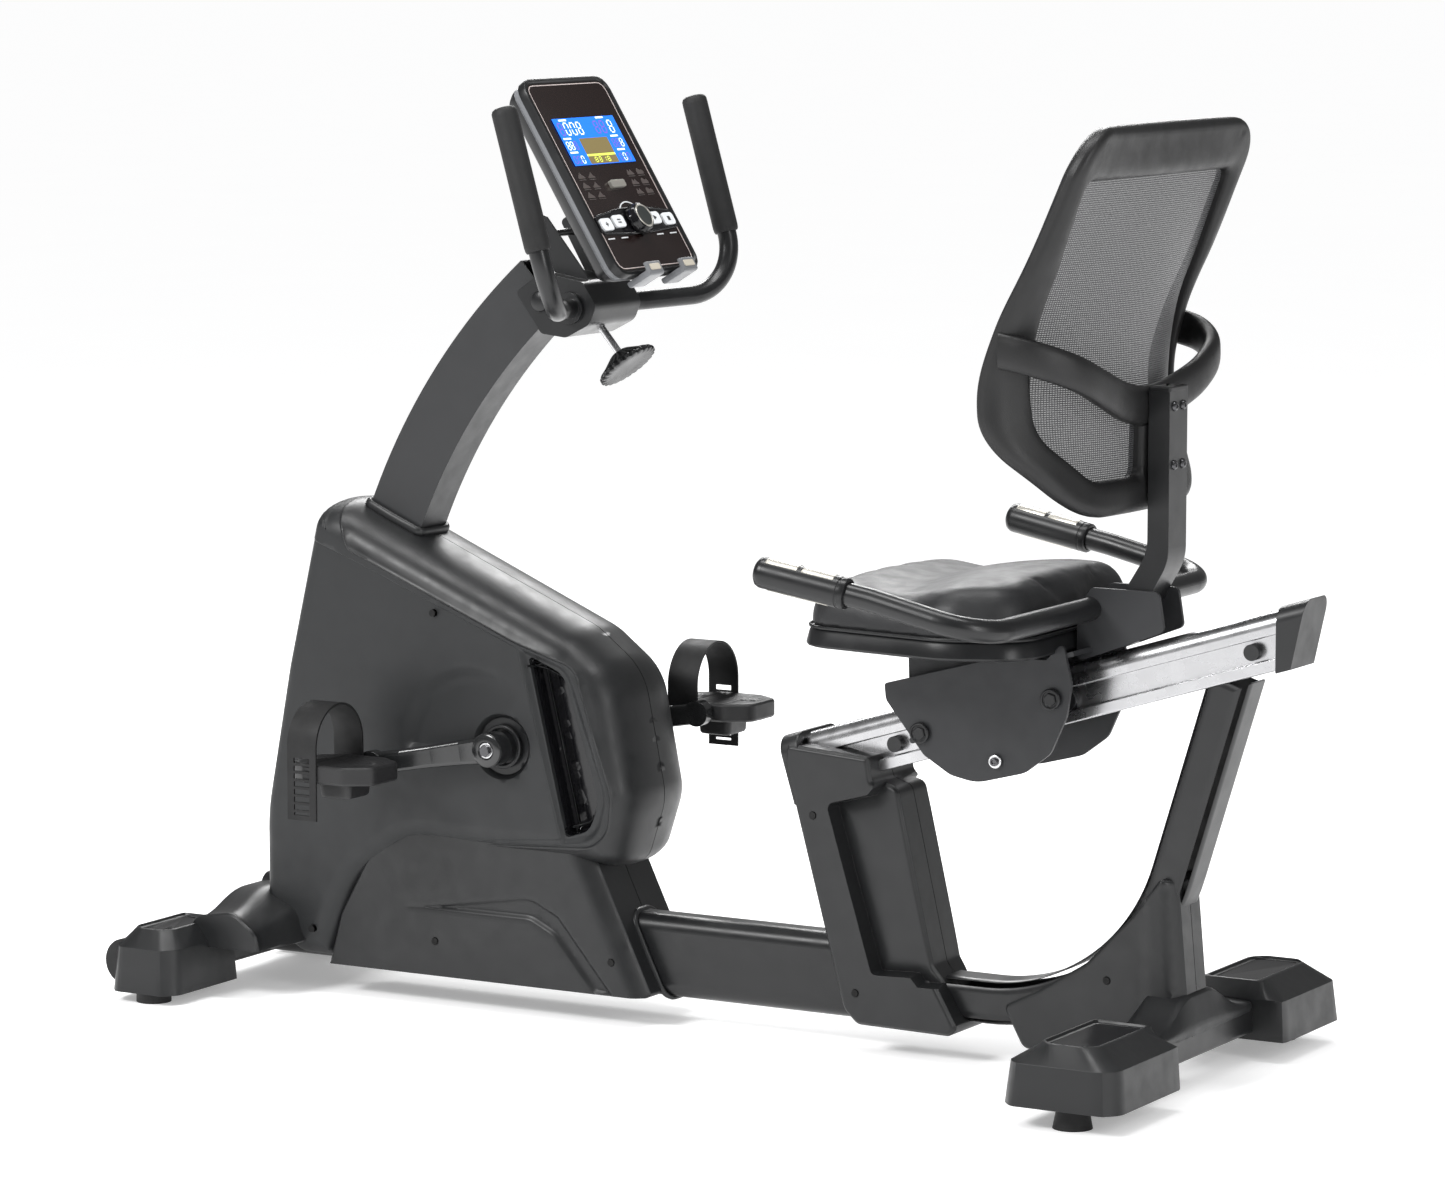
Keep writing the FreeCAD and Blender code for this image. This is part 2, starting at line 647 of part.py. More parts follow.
def console_controls():
    """Screen window, dial, four keys and the pill button."""
    feature("console_screen", block(-2.5, -0.6, -74, 74, 158, 226), CONSOLE)
    knob = Part.makeCylinder(dim("dial_radius"), 14, Vector(GAP, 0, DIAL_HEIGHT), ALONG)
    knob = knob.makeFillet(2, [edge for edge in knob.Edges if edge.Curve.TypeId == "Part::GeomCircle"
                               and edge.Vertexes[0].X > 5])
    shaft = disc((-3, 0, DIAL_HEIGHT), 4, 5, ALONG)
    feature("console_dial", knob.fuse(shaft), CONSOLE)
    back = -6 + dim("key_travel") + GAP
    for index, (y, height) in enumerate(KEY_SPOTS, start=1):
        feature("console_key_%d" % index, key_block(y, height, KEY_SIZE, back, 2, 0), CONSOLE)
    feature("console_button", key_block(PILL_SPOT[0], PILL_SPOT[1], PILL_SIZE, back, 2, 0), CONSOLE)


# ---------------------------------------------------------------- drive train

def crank_axle():
    """Steel axle through both bearings and both arms."""
    obj = doc.addObject("Part::Cylinder", "crank_axle")
    obj.setExpression("Radius", "dims.axle_radius")
    obj.Height = 244
    obj.Placement = Placement(Vector(CRANK[0], 122, CRANK[1]), Rotation(ALONG, 90))
    keep(obj, "crank_axle")


def crank_arm(side_name):
    """Cranked arm from the axle boss out to the pedal eye, with its pedal pin."""
    side = SIDES[side_name]
    end_x, end_z = crank_end(side)
    reach = dim("crank_length")
    boss = disc((0, 107 * side, 0), 22, 13)
    eye = disc((reach, dim("arm_side") * side, 0), 17, 8)
    sections = []
    for along, y, height, thick in [(0, 107, 36, 18), (45, 108, 32, 17), (85, 116, 29, 15),
                                    (125, 128, 28, 14), (reach, dim("arm_side"), 28, 14)]:
        outline = rounded(rectangle(y * side - thick / 2, -height / 2, y * side + thick / 2, height / 2), 5)
        wire = Part.Wire(Part.__sortEdges__([edge.toShape() for edge in outline]))
        wire.Placement = Placement(Vector(along, 0, 0), Rotation(Vector(0, 1, 0), UP, ALONG))
        sections.append(wire)
    web = Part.makeLoft(sections, True, True)
    pin_from = dim("arm_side") - 8
    pin_to = dim("pedal_side") + dim("pedal_width") / 2 - 8
    pin = disc((reach, side * (pin_from + pin_to) / 2, 0), dim("pin_radius"), (pin_to - pin_from) / 2)
    arm = boss.fuse([eye, web, pin]).cut(disc((0, 0, 0), dim("axle_radius"), 200))
    turn = math.degrees(math.atan2(end_z - CRANK[1], end_x - CRANK[0]))
    feature("crank_arm_" + side_name, arm, Placement(Vector(CRANK[0], 0, CRANK[1]), Rotation(ACROSS, -turn)))


def drive_pulley():
    """Large belt pulley with lightening holes, on the right of the bearing shell."""
    body = padded("drive_pulley", circle_edge(0, 0, dim("pulley_radius")), "dims.belt_width",
                  Placement(Vector(CRANK[0], dim("belt_side"), CRANK[1]), Rotation()))
    pocketed(body, "pulley_bore", circle_edge(0, 0, dim("axle_radius")))
    sketch = sketched(body, "pulley_hole_outline", "XZ_Plane", circle_edge(0, 66, 20))
    hole = body.newObject("PartDesign::Pocket", "pulley_hole")
    hole.Profile = sketch
    hole.SideType = "Symmetric"
    hole.Length = 100
    doc.recompute()
    pattern = body.newObject("PartDesign::PolarPattern", "pulley_holes")
    pattern.Originals = [hole]
    pattern.Axis = (origin_axis(body, "Y_Axis"), [""])
    pattern.Angle = 360
    pattern.Occurrences = 6
    body.Tip = pattern


def origin_axis(body, role):
    """One of the body's own origin axes."""
    return [item for item in body.Origin.OriginFeatures if item.Role == role][0]


def at(centre, radius, angle):
    """Point on a circle in a side view."""
    return centre + Vector(math.cos(angle), math.sin(angle), 0) * radius


def belt_angles():
    """Centres of the two pulleys, and the angles at which the belt's two runs leave them."""
    first = Vector(CRANK[0], CRANK[1], 0)
    second = Vector(FLYWHEEL[0], FLYWHEEL[1], 0)
    line = second - first
    heading = math.atan2(line.y, line.x)
    lean = math.acos((dim("pulley_radius") - dim("small_pulley_radius")) / line.Length)
    return first, second, heading, heading + lean, heading - lean


def idler_centre():
    """Idler just outside the lower run of the belt, a third of the way to the flywheel."""
    first, second, heading, down, up = belt_angles()
    outside = dim("belt_thickness") + dim("idler_radius") + 2 * GAP
    start = at(first, dim("pulley_radius") + outside, down)
    end = at(second, dim("small_pulley_radius") + outside, down)
    centre = start + (end - start) * 0.45
    return (centre.x, centre.y)


def loop_outline(grow):
    """Belt around the drive pulley and the flywheel pulley, in side view."""
    big = dim("pulley_radius") + GAP + grow
    small = dim("small_pulley_radius") + GAP + grow
    first, second, heading, up, down = belt_angles()
    return [Part.LineSegment(at(first, big, up), at(second, small, up)),
            Part.Arc(at(second, small, up), at(second, small, heading), at(second, small, down)),
            Part.LineSegment(at(second, small, down), at(first, big, down)),
            Part.Arc(at(first, big, down), at(first, big, heading + math.pi), at(first, big, up))]


def drive_belt():
    """Ribbed belt, drawn a gap clear of both pulleys."""
    body = padded("drive_belt", loop_outline(dim("belt_thickness")), "dims.belt_width",
                  Placement(Vector(0, dim("belt_side"), 0), Rotation()))
    pocketed(body, "belt_inside", loop_outline(0))


def flywheel():
    """Rimmed flywheel with its small pulley on one hub."""
    centre = (FLYWHEEL[0], 0, FLYWHEEL[1])
    half = dim("flywheel_width") / 2
    rim = ring(centre, dim("flywheel_radius"), dim("flywheel_radius") - 26, half)
    web = disc(centre, dim("flywheel_radius") - 26, 5)
    hub = disc((centre[0], 7, centre[2]), 13, 13)
    pulley = disc((centre[0], dim("belt_side"), centre[2]), dim("small_pulley_radius"),
                  dim("belt_width") / 2)
    collar = disc((centre[0], 36, centre[2]), 9, 18)
    bore = disc(centre, 6 + dim("bore_clearance"), 100)
    feature("flywheel", rim.fuse([web, hub, pulley, collar]).cut(bore).removeSplitter())


def idler_pulley():
    """Small roller that tensions the belt from outside."""
    x, z = idler_centre()
    wheel = ring((x, dim("belt_side"), z), dim("idler_radius"),
                 4 + dim("bore_clearance"), dim("belt_width") / 2)
    feature("idler_pulley", wheel)


def brake_magnet():
    """Curved magnet carrier that swings clear of the flywheel rim."""
    centre = (FLYWHEEL[0], 0, FLYWHEEL[1])
    middle = Vector(FLYWHEEL[0], FLYWHEEL[1], 0)
    band = ring(centre, dim("flywheel_radius") + 14, dim("flywheel_radius") + 4, 12)
    corners = [middle] + [at(middle, 220, math.radians(angle)) for angle in (92, 120, 148)]
    sector = side_prism(rounded([(corner.x, corner.y) for corner in corners], 0), -30, 30)
    pivot = (BRAKE_PIVOT[0], 0, BRAKE_PIVOT[1])
    link = side_prism(rounded(rectangle(-562, 372, -541, 402), 4), -9, 9)
    link = link.cut(disc(centre, dim("flywheel_radius") + 4, 60))
    bore = disc(pivot, 4 + dim("bore_clearance"), 60)
    arc = band.common(sector)
    feature("brake_magnet", arc.fuse([link, disc(pivot, 10, 12)]).cut(bore).removeSplitter())


def pedal(side_name):
    """Flat pedal with rounded toes, running on the crank's pin, and a counterweight keel."""
    side = SIDES[side_name]
    x, z = crank_end(side)
    y = side * dim("pedal_side")
    half_long = dim("pedal_length") / 2
    half_wide = dim("pedal_width") / 2
    plan = rounded([(x - half_long, y - half_wide + 22), (x - half_long + 34, y - half_wide),
                    (x + half_long - 34, y - half_wide), (x + half_long, y - half_wide + 22),
                    (x + half_long, y + half_wide - 22), (x + half_long - 34, y + half_wide),
                    (x - half_long + 34, y + half_wide), (x - half_long, y + half_wide - 22)], 12)
    deck = plan_prism(plan, z - dim("pedal_height") / 2, z + dim("pedal_height") / 2)
    keel = block(x - 24, x + 24, y - 26, y + 26, z - 34, z)
    bore = disc((x, y, z), dim("pin_radius") + dim("bore_clearance"), 80)
    feature("pedal_" + side_name, deck.fuse(keel).cut(bore).removeSplitter())


def strap(side_name):
    """Arched band over the pedal, screwed to its two sides."""
    side = SIDES[side_name]
    x, z = crank_end(side)
    y = side * dim("pedal_side")
    inner_half = dim("pedal_width") / 2
    outer_half = inner_half + dim("strap_thickness")
    front = x - 8

    def arch(half, rise):
        foot = z - 14
        spring = z + rise - half
        left, right = Vector(front, y - half, foot), Vector(front, y + half, foot)
        left_top, right_top = Vector(front, y - half, spring), Vector(front, y + half, spring)
        crown = Vector(front, y, z + rise)
        edges = [Part.LineSegment(left, left_top).toShape(), Part.Arc(left_top, crown, right_top).toShape(),
                 Part.LineSegment(right_top, right).toShape(), Part.LineSegment(right, left).toShape()]
        return Part.Face(Part.Wire(edges)).extrude(Vector(-dim("strap_width"), 0, 0))

    band = arch(outer_half, 84 + dim("strap_thickness")).cut(arch(inner_half, 84))
    foot_x, foot_z = crank_end(side)
    keep_clear = block(foot_x - 200, foot_x + 200, y - inner_half, y + inner_half, z - 40, z)
    feature("strap_" + side_name, band.cut(keep_clear))


# ---------------------------------------------------------------- seat carriage

PLATE_OUTLINE = [(412, 519), (250, 475), (252, 455), (305, 390), (342, 368), (378, 361),
                 (443, 378), (478, 404), (500, 452), (506, 492), (494, 543), (472, 519)]
ROLLER_STATIONS = (179, 368)


def carriage_frame():
    """Two side plates, a top plate over the rail, seat ribs and the post and tube cheeks."""
    plates = []
    half = dim("plate_thickness") / 2
    side_at = dim("plate_side")
    outline = rounded(PLATE_OUTLINE, [4, 4, 14, 20, 30, 60, 30, 24, 40, 12, 5, 5])
    for side in (-1, 1):
        plates.append(side_prism(outline, side * side_at - half, side * side_at + half))
    top = block(170, 420, -side_at, side_at, dim("rail_height") + 8, dim("rail_height") + 14)
    top.Placement = RAIL_FRAME
    low = on_rail(175, dim("rail_height") + 11)
    high = on_rail(395, dim("rail_height") + 11)
    ribs = [side_prism(rounded([low, high, (high[0], 522), (low[0] - 2, 522)], 0), side * 55, side * 60)
            for side in (-1, 1)]
    deck = block(low[0], 468, -70, 70, 517, 522)
    cheeks = [side_prism(rounded([(487, 512), (542, 532), (604, 556), (596, 604), (506, 604), (487, 575)], 8),
                         side * 25, side * 30) for side in (-1, 1)]
    bolts = []
    for station in ROLLER_STATIONS:
        x, z = on_rail(station, 28.5)
        for side in (-1, 1):
            bolts.append(disc((x, side * 57, z), 4, 31))
    cross = disc((CROSS_TUBE[0], 0, CROSS_TUBE[1]), dim("seat_tube_radius"), 100)
    lever_pin = disc((LEVER[0], 88, LEVER[1]), 5, 8)
    frame = plates[0].fuse([plates[1], top, deck] + ribs + cheeks + bolts + [lever_pin])
    frame = frame.cut(cross)
    feature("carriage_frame", frame)


CROSS_TUBE = (505, 578)
LEVER = (420, 410)


def rollers(node, station):
    """Pair of rollers in the rail's side grooves."""
    x, z = on_rail(station, 28.5)
    centre_y = dim("rail_width") / 2 - dim("groove_depth") + GAP + dim("roller_width") / 2
    bore = 4 + dim("bore_clearance")
    group(node, [ring((x, side * centre_y, z), dim("roller_radius"), bore, dim("roller_width") / 2)
                 for side in (-1, 1)])


def seat_lever():
    """Seat release lever outside the right-hand plate."""
    hub = disc((LEVER[0], 90, LEVER[1]), 15, 6)
    arm = side_prism(rounded([(LEVER[0] - 8, LEVER[1] - 9), (LEVER[0] + 10, LEVER[1] - 9),
                              (352, 502), (334, 494)], 6), 84.3, 91)
    grip = disc((341, 115, 499), 12, 34)
    bore = disc((LEVER[0], 90, LEVER[1]), 5 + dim("bore_clearance"), 30)
    whole = hub.fuse([arm, grip]).cut(bore)
    whole = whole.cut(block(0, 800, 60, dim("plate_side") + dim("plate_thickness") / 2 + GAP, 300, 700))
    feature("seat_lever", whole.removeSplitter())


def seat_plan(front, rear, front_half, rear_half):
    """Seat in plan: narrow front, wide rear."""
    return rounded([(front, -front_half), (rear - 90, -rear_half), (rear, -rear_half * 0.8),
                    (rear, rear_half * 0.8), (rear - 90, rear_half), (front, front_half)],
                   [55, 90, 60, 60, 90, 55])


def seat_cushion():
    """Closed cushion of the seat's size."""
    pad = plan_prism(seat_plan(172, 480, 165, 198), 548, 626)
    rim = [edge for edge in pad.Edges if all(abs(vertex.Z - 626) < 0.01 for vertex in edge.Vertexes)]
    feature("seat_cushion", pad.makeFillet(22, rim))


def seat_pan():
    """Moulded pan under the cushion."""
    feature("seat_pan", plan_prism(seat_plan(186, 462, 150, 182), 522, 548))


def seat_handle_points(side):
    """Centre line of one side of the seat handlebar."""
    return [(CROSS_TUBE[0], 0, CROSS_TUBE[1]), (CROSS_TUBE[0], side * 318, CROSS_TUBE[1]),
            (360, side * 322, 612), (216, side * 332, 638)]


def seat_handlebar():
    """U-shaped tube behind and beside the seat."""
    halves = []
    for side in (-1, 1):
        path = bent_path(seat_handle_points(side), [62, 200])
        radius = dim("seat_tube_radius")
        halves.append(tube_along(path, radius, radius - dim("tube_wall")))
    feature("seat_handlebar", halves[0].fuse(halves[1]))


def seat_grips():
    """Two rubber grips with a closed end, each with two sensor plates."""
    grips = []
    for side in (-1, 1):
        points = seat_handle_points(side)
        tip = Vector(*points[3])
        direction = (Vector(*points[2]) - tip).normalize()
        start = tip - direction * 5
        outer = Part.makeCylinder(dim("seat_grip_radius"), dim("seat_grip_length"), start, direction)
        inner = Part.makeCylinder(dim("seat_tube_radius"), 200, tip, direction)
        grips.append(outer.cut(inner))
    group("seat_grips", grips)


def backrest_post():
    """Rectangular tube that leans up from the carriage to the lumbar yoke."""
    half = dim("post_depth") / 2
    outline = [(592 - half, 850), (592 + half, 850), (592 + half, 640), (545, 533), (510, 523),
               (540 - half, 567), (592 - half, 650)]
    body = padded("backrest_post", rounded(outline, [2, 2, 60, 6, 4, 40, 60]), "dims.post_width")
    inner = [(592 - half + 3, 838), (592 + half - 3, 838), (592 + half - 3, 655), (592 - half + 3, 655)]
    sketch = sketched(body, "post_hollow", "XZ_Plane", rounded(inner, 1))
    pocket = body.newObject("PartDesign::Pocket", "post_bore")
    pocket.Profile = sketch
    pocket.SideType = "Symmetric"
    pocket.Length = 44


# The backrest is a doubly curved panel: each entry is height, front face at the middle,
# and front face at the side edge.
BACK_PROFILE = [(690, 545, 520), (760, 545, 468), (850, 548, 447), (930, 548, 470),
                (1010, 551, 512), (1090, 557, 549), (1180, 566, 590)]
BACK_HALF = 238


def back_band(offset, thickness):
    """Curved band of a given thickness, set back from the front face by an offset."""
    sections = []
    for y in (-BACK_HALF - 4, -150, 0, 150, BACK_HALF + 4):
        share = (abs(y) / BACK_HALF) ** 2
        front = [Vector(mid + (edge - mid) * share + offset, y, z) for z, mid, edge in BACK_PROFILE]
        rear = [point + Vector(thickness, 0, 0) for point in front]
        front_curve = Part.BSplineCurve()
        front_curve.interpolate(front)
        rear_curve = Part.BSplineCurve()
        rear_curve.interpolate(rear)
        sections.append(Part.Wire([front_curve.toShape(), Part.makeLine(front[-1], rear[-1]),
                                   rear_curve.toShape(), Part.makeLine(rear[0], front[0])]))
    return Part.makeLoft(sections, True, False)


def back_prism(points, radii):
    """Outline in front view (y, z), pushed through the whole depth of the backrest."""
    wire = Part.Wire(Part.__sortEdges__([edge.toShape() for edge in rounded(points, radii)]))
    wire.Placement = Placement(Vector(400, 0, 0), Rotation(Vector(0, 1, 0), UP, ALONG))
    return Part.Face(wire).extrude(Vector(300, 0, 0))


def back_outline():
    """Front view of the backrest: wide shoulders, round lower end."""
    return back_prism([(-150, 700), (150, 700), (238, 790), (238, 1000), (232, 1168), (-232, 1168),
                       (-238, 1000), (-238, 790)], [110, 110, 90, 400, 62, 62, 400, 90])


def back_windows():
    """Upper window and the two lower windows of the frame."""
    upper = back_prism([(-196, 892), (0, 862), (196, 892), (204, 1104), (-204, 1104)],
                       [24, 300, 24, 12, 12])
    lowers = []
    for side in (-1, 1):
        lowers.append(back_prism([(side * 22, 742), (side * 120, 742), (side * 188, 800),
                                  (side * 192, 846), (side * 22, 812)], [14, 50, 40, 14, 14]))
    return [upper] + lowers


def backrest_frame():
    """Moulded frame around the mesh, with the lumbar yoke that holds it to the post."""
    frame = back_band(0, dim("back_thickness")).common(back_outline())
    for window in back_windows():
        frame = frame.cut(window)
    tie = side_prism(rounded([(560, 800), (578, 800), (578, 846), (560, 846)], 2), -60, 60)
    feature("backrest_frame", frame.fuse(tie))


def backrest_mesh():
    """Stretched mesh in the windows of the frame."""
    band = back_band(14, dim("mesh_thickness"))
    frame = doc.getObject("backrest_frame").Shape
    group("backrest_mesh", [band.common(window).cut(frame) for window in back_windows()])


# ---------------------------------------------------------------- covers, caps and feet

def cover_half(node, outline, radii, half_width, side, hollow):
    """Half of a moulded cover: outer prism less everything that passes through it."""
    solid = side_prism(rounded(outline, radii), 0, side * half_width)
    for tool in hollow:
        solid = solid.cut(tool)
    feature(node, solid)


def post_covers():
    """Left and right shells around the rail post and the joint of the two tubes."""
    outline = [(98, 384), (95, 362), (180, 54), (199, 37), (330, 35), (366, 56), (340, 104), (302, 122),
               (246, 336), (219, 345), (214, 376)]
    radii = [3, 14, 24, 14, 12, 6, 20, 14, 12, 8, 3]
    room = rounded([(112, 395), (112, 358), (196, 60), (212, 41), (322, 41), (350, 58), (330, 98),
                    (290, 116), (232, 330), (205, 395)], 6)
    half_tube = dim("main_tube_width") / 2 + GAP
    main = block(0, 300, -half_tube, half_tube, 35 - GAP, 35 + dim("main_tube_height") + GAP)
    inner = side_prism(room, -56, 56)
    rail = rail_solid(GAP)
    for side_name, side in SIDES.items():
        tools = [inner, main, rail, rear_tube_solid(GAP, 209)]
        cover_half("post_cover_" + side_name, outline, radii, 60, side, tools)


def rear_covers():
    """Left and right shells around the rear tube, with a flared foot on the rear beam."""
    outline = [(395, 78), (423, 27), (582, 30), (648, 64), (640, 98), (626, 252), (608, 256), (571, 208),
               (508, 142), (440, 100)]
    radii = [8, 14, 8, 4, 10, 4, 6, 60, 60, 40]
    depth = dim("beam_depth") / 2 + GAP
    rear_beam = block(REAR_BEAM[0] - depth, REAR_BEAM[0] + depth, -400, 400, 0,
                      REAR_BEAM[1] + dim("beam_height") / 2 + GAP)
    tube = rear_tube_solid(GAP, 209)
    for side_name, side in SIDES.items():
        body = side_prism(rounded(outline, radii), 0, side * 41)
        foot_end = [Vector(x, side * 142, z) for x, z in [(586, 66), (650, 66), (646, 78), (592, 78)]]
        foot_root = [Vector(x, side * 40, z) for x, z in [(560, 66), (654, 66), (646, 112), (575, 112)]]
        foot = Part.makeLoft([Part.makePolygon(points + points[:1]) for points in (foot_end, foot_root)],
                             True, True)
        cover = body.fuse(foot).cut(rear_beam).cut(tube)
        feature("rear_cover_" + side_name, cover.removeSplitter())


def cap_solid(side, inner_y, outer_y, bottom, top, base, crown):
    """Faceted end cap: straight skirt, then sloping shoulders up to a flat top."""
    def section(x_from, x_to, y_in, y_out, z):
        corners = [Vector(x_from, side * y_in, z), Vector(x_to, side * y_in, z),
                   Vector(x_to, side * (y_out - 12), z), Vector(x_to - 12, side * y_out, z),
                   Vector(x_from + 12, side * y_out, z), Vector(x_from, side * (y_out - 12), z)]
        return Part.makePolygon(corners + corners[:1])

    middle = top - 23
    base_wire = section(base[0], base[1], inner_y, outer_y, bottom)
    waist_wire = section(base[0] + 5, base[1] - 5, inner_y, outer_y - 5, middle)
    crown_wire = section(crown[0], crown[1], inner_y + 6, outer_y - 24, top)
    return Part.makeLoft([base_wire, waist_wire], True, True).fuse(
        Part.makeLoft([waist_wire, crown_wire], True, True))


def front_caps():
    """Caps on the front beam, each with a slot for a transport wheel and a pad seat."""
    caps = []
    depth = dim("beam_depth") / 2
    height = dim("beam_height") / 2
    for side in (-1, 1):
        cap = cap_solid(side, 110, 262, 14, 96, (-811, -705), (-788, -728))
        beam_room = block(FRONT_BEAM[0] - depth, FRONT_BEAM[0] + depth, -dim("front_beam_length") / 2,
                          dim("front_beam_length") / 2, FRONT_BEAM[1] - height, FRONT_BEAM[1] + height)
        slot = ring_room(side)
        caps.append(cap.cut(beam_room).cut(slot))
    group("front_caps", caps)


WHEEL_CENTRE = (-795, 231, 50)


def ring_room(side):
    """Free space around a transport wheel, with the axle left standing."""
    x, y, z = WHEEL_CENTRE
    room = disc((x, side * y, z), dim("wheel_radius") + 2.5, dim("wheel_width") / 2 + 0.6)
    return room.cut(disc((x, side * y, z), 4, 40))


def transport_wheel(side_name):
    """Small wheel on an axle moulded into the cap."""
    side = SIDES[side_name]
    x, y, z = WHEEL_CENTRE
    wheel = ring((x, side * y, z), dim("wheel_radius"), 4 + dim("bore_clearance"), dim("wheel_width") / 2)
    feature("transport_wheel_" + side_name, wheel)


def front_pads():
    """Rubber pads under the front caps."""
    group("front_pads", [disc((FRONT_BEAM[0], side * 231, 7), 23, 7, UP) for side in (-1, 1)])


def rear_caps():
    """Caps on the rear beam with a threaded seat for a levelling foot."""
    caps = []
    depth = dim("beam_depth") / 2
    height = dim("beam_height") / 2
    for side in (-1, 1):
        cap = cap_solid(side, 148, 333, 27, 101, (537, 690), (576, 652))
        beam_room = block(REAR_BEAM[0] - depth, REAR_BEAM[0] + depth, -dim("rear_beam_length") / 2,
                          dim("rear_beam_length") / 2, REAR_BEAM[1] - height, REAR_BEAM[1] + height)
        bore = disc((REAR_BEAM[0], side * dim("foot_side"), 40), 5 + dim("bore_clearance"), 32, UP)
        caps.append(cap.cut(beam_room).cut(bore))
    group("rear_caps", caps)


def rear_foot(side_name):
    """Levelling foot: tapered rubber pad on a screw."""
    side = SIDES[side_name]
    pad = Part.makeCone(dim("foot_radius"), dim("foot_radius") - 5, 26.5,
                        Vector(REAR_BEAM[0], side * dim("foot_side"), 0), UP)
    stem = Part.makeCylinder(5, 60, Vector(REAR_BEAM[0], side * dim("foot_side"), 5), UP)
    feature("rear_foot_" + side_name, pad.fuse(stem))


def rail_sleeve(grow):
    """Solid of the rail's outer section, grown outward, along its whole length."""
    half = dim("rail_width") / 2 + grow
    top = dim("rail_height") + grow
    edges = rounded([(-half, -grow), (half, -grow), (half, top), (-half, top)], [2, 2, 18, 18])
    section = Part.Face(Part.Wire(Part.__sortEdges__([edge.toShape() for edge in edges])))
    section.Placement = Placement(Vector(), Rotation(Vector(1, 1, 1), 120))
    return section.extrude(ALONG * 900)


def rail_fittings():
    """Cap over the rear end of the rail, cut upright in front and sloped behind, and
    rubber buffers in the rail's grooves."""
    wall = 3
    top = dim("rail_height") + wall
    angle = math.radians(dim("rail_angle"))
    last = (dim("rail_cap_end") - RAIL_FOOT.x + top * math.sin(angle)) / math.cos(angle)
    front_low, front_high = upright_cut(dim("rail_cut") - 12, -wall, top)
    outline = [front_low, (last - 43, -wall), (last, top), front_high]
    cap = rail_sleeve(wall).common(side_prism(rounded(outline, 0), -60, 60))
    room_low, room_high = upright_cut(dim("rail_cut"), -10, 90)
    room = side_prism(rounded([(500, -10), room_low, room_high, (500, 90)], 0), -60, 60)
    cap = cap.cut(rail_sleeve(0).common(room))
    inner = dim("rail_width") / 2 - dim("groove_depth")
    middle = (dim("groove_low") + dim("groove_high")) / 2
    stops = [cap]
    for station in (122, 627):
        for side in (-1, 1):
            stops.append(disc((station, side * (inner + 6), middle), 10, 6))
    group("rail_fittings", stops, RAIL_FRAME)


SCREW_SPOTS = [(-409, 519, 88), (-602, 87, 88), (-417, 86, 75), (-149, 84, 75),
               (137, 297, 60), (198, 77, 60), (537, 124, 41)]


def cover_screws():
    """Heads of the screws that join the cover halves, in both sides."""
    heads = [disc((x, side * (y + 0.8), z), 4.5, 0.8) for x, z, y in SCREW_SPOTS for side in (-1, 1)]
    group("cover_screws", heads)


# ---------------------------------------------------------------- build everything

def build():
    main_tube()
    beam("front_stabiliser", FRONT_BEAM, "front_beam_length")
    beam("rear_stabiliser", REAR_BEAM, "rear_beam_length")
    rail_post()
    seat_rail()
    rear_tube()
    drive_frame()
    crank_bearings()
    mast()
    bar_head()
    clamp_knob()
    handlebar()
    handlebar_foam()
    console_housing()
    console_controls()
    front_shroud()
    crank_axle()
    drive_pulley()
    drive_belt()
    flywheel()
    idler_pulley()
    brake_magnet()
    carriage_frame()
    rollers("front_rollers", ROLLER_STATIONS[0])
    rollers("rear_rollers", ROLLER_STATIONS[1])
    seat_lever()
    seat_cushion()
    seat_pan()
    seat_handlebar()
    seat_grips()
    backrest_post()
    backrest_frame()
    backrest_mesh()
    post_covers()
    rear_covers()
    front_caps()
    rear_caps()
    front_pads()
    rail_fittings()
    cover_screws()
    for side_name in SIDES:
        housing_half(side_name)
        crank_arm(side_name)
        pedal(side_name)
        strap(side_name)
        transport_wheel(side_name)
        rear_foot(side_name)


def centre_on_origin():
    """Slide every sub-part along X so that the origin is under the middle of the overall box."""
    for obj in NODES:
        place = obj.Placement
        obj.Placement = Placement(place.Base + ALONG * dim("origin_shift"), place.Rotation)


def export():
    """Check every object, then write one STEP file per sub-part."""
    doc.recompute()
    for obj in doc.Objects:
        if "Invalid" in obj.State or "Error" in obj.State:
            raise RuntimeError("failed feature: " + obj.Label)
    os.makedirs("parts", exist_ok=True)
    for obj in NODES:
        shape = obj.Shape
        if shape.isNull() or not shape.isValid() or shape.Volume <= 0:
            raise RuntimeError("bad shape: " + obj.Label)
        shape.exportStep("parts/" + obj.Label + ".step")
        box = shape.BoundBox
        print("%-18s solids %2d volume %10.0f  x %.0f..%.0f y %.0f..%.0f z %.0f..%.0f" % (
            obj.Label, len(shape.Solids), shape.Volume, box.XMin, box.XMax, box.YMin, box.YMax,
            box.ZMin, box.ZMax))
    print("nodes", len(NODES))


build()
centre_on_origin()
export()
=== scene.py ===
import math

import bmesh
import bpy
import numpy as np
from mathutils import Matrix, Vector, geometry


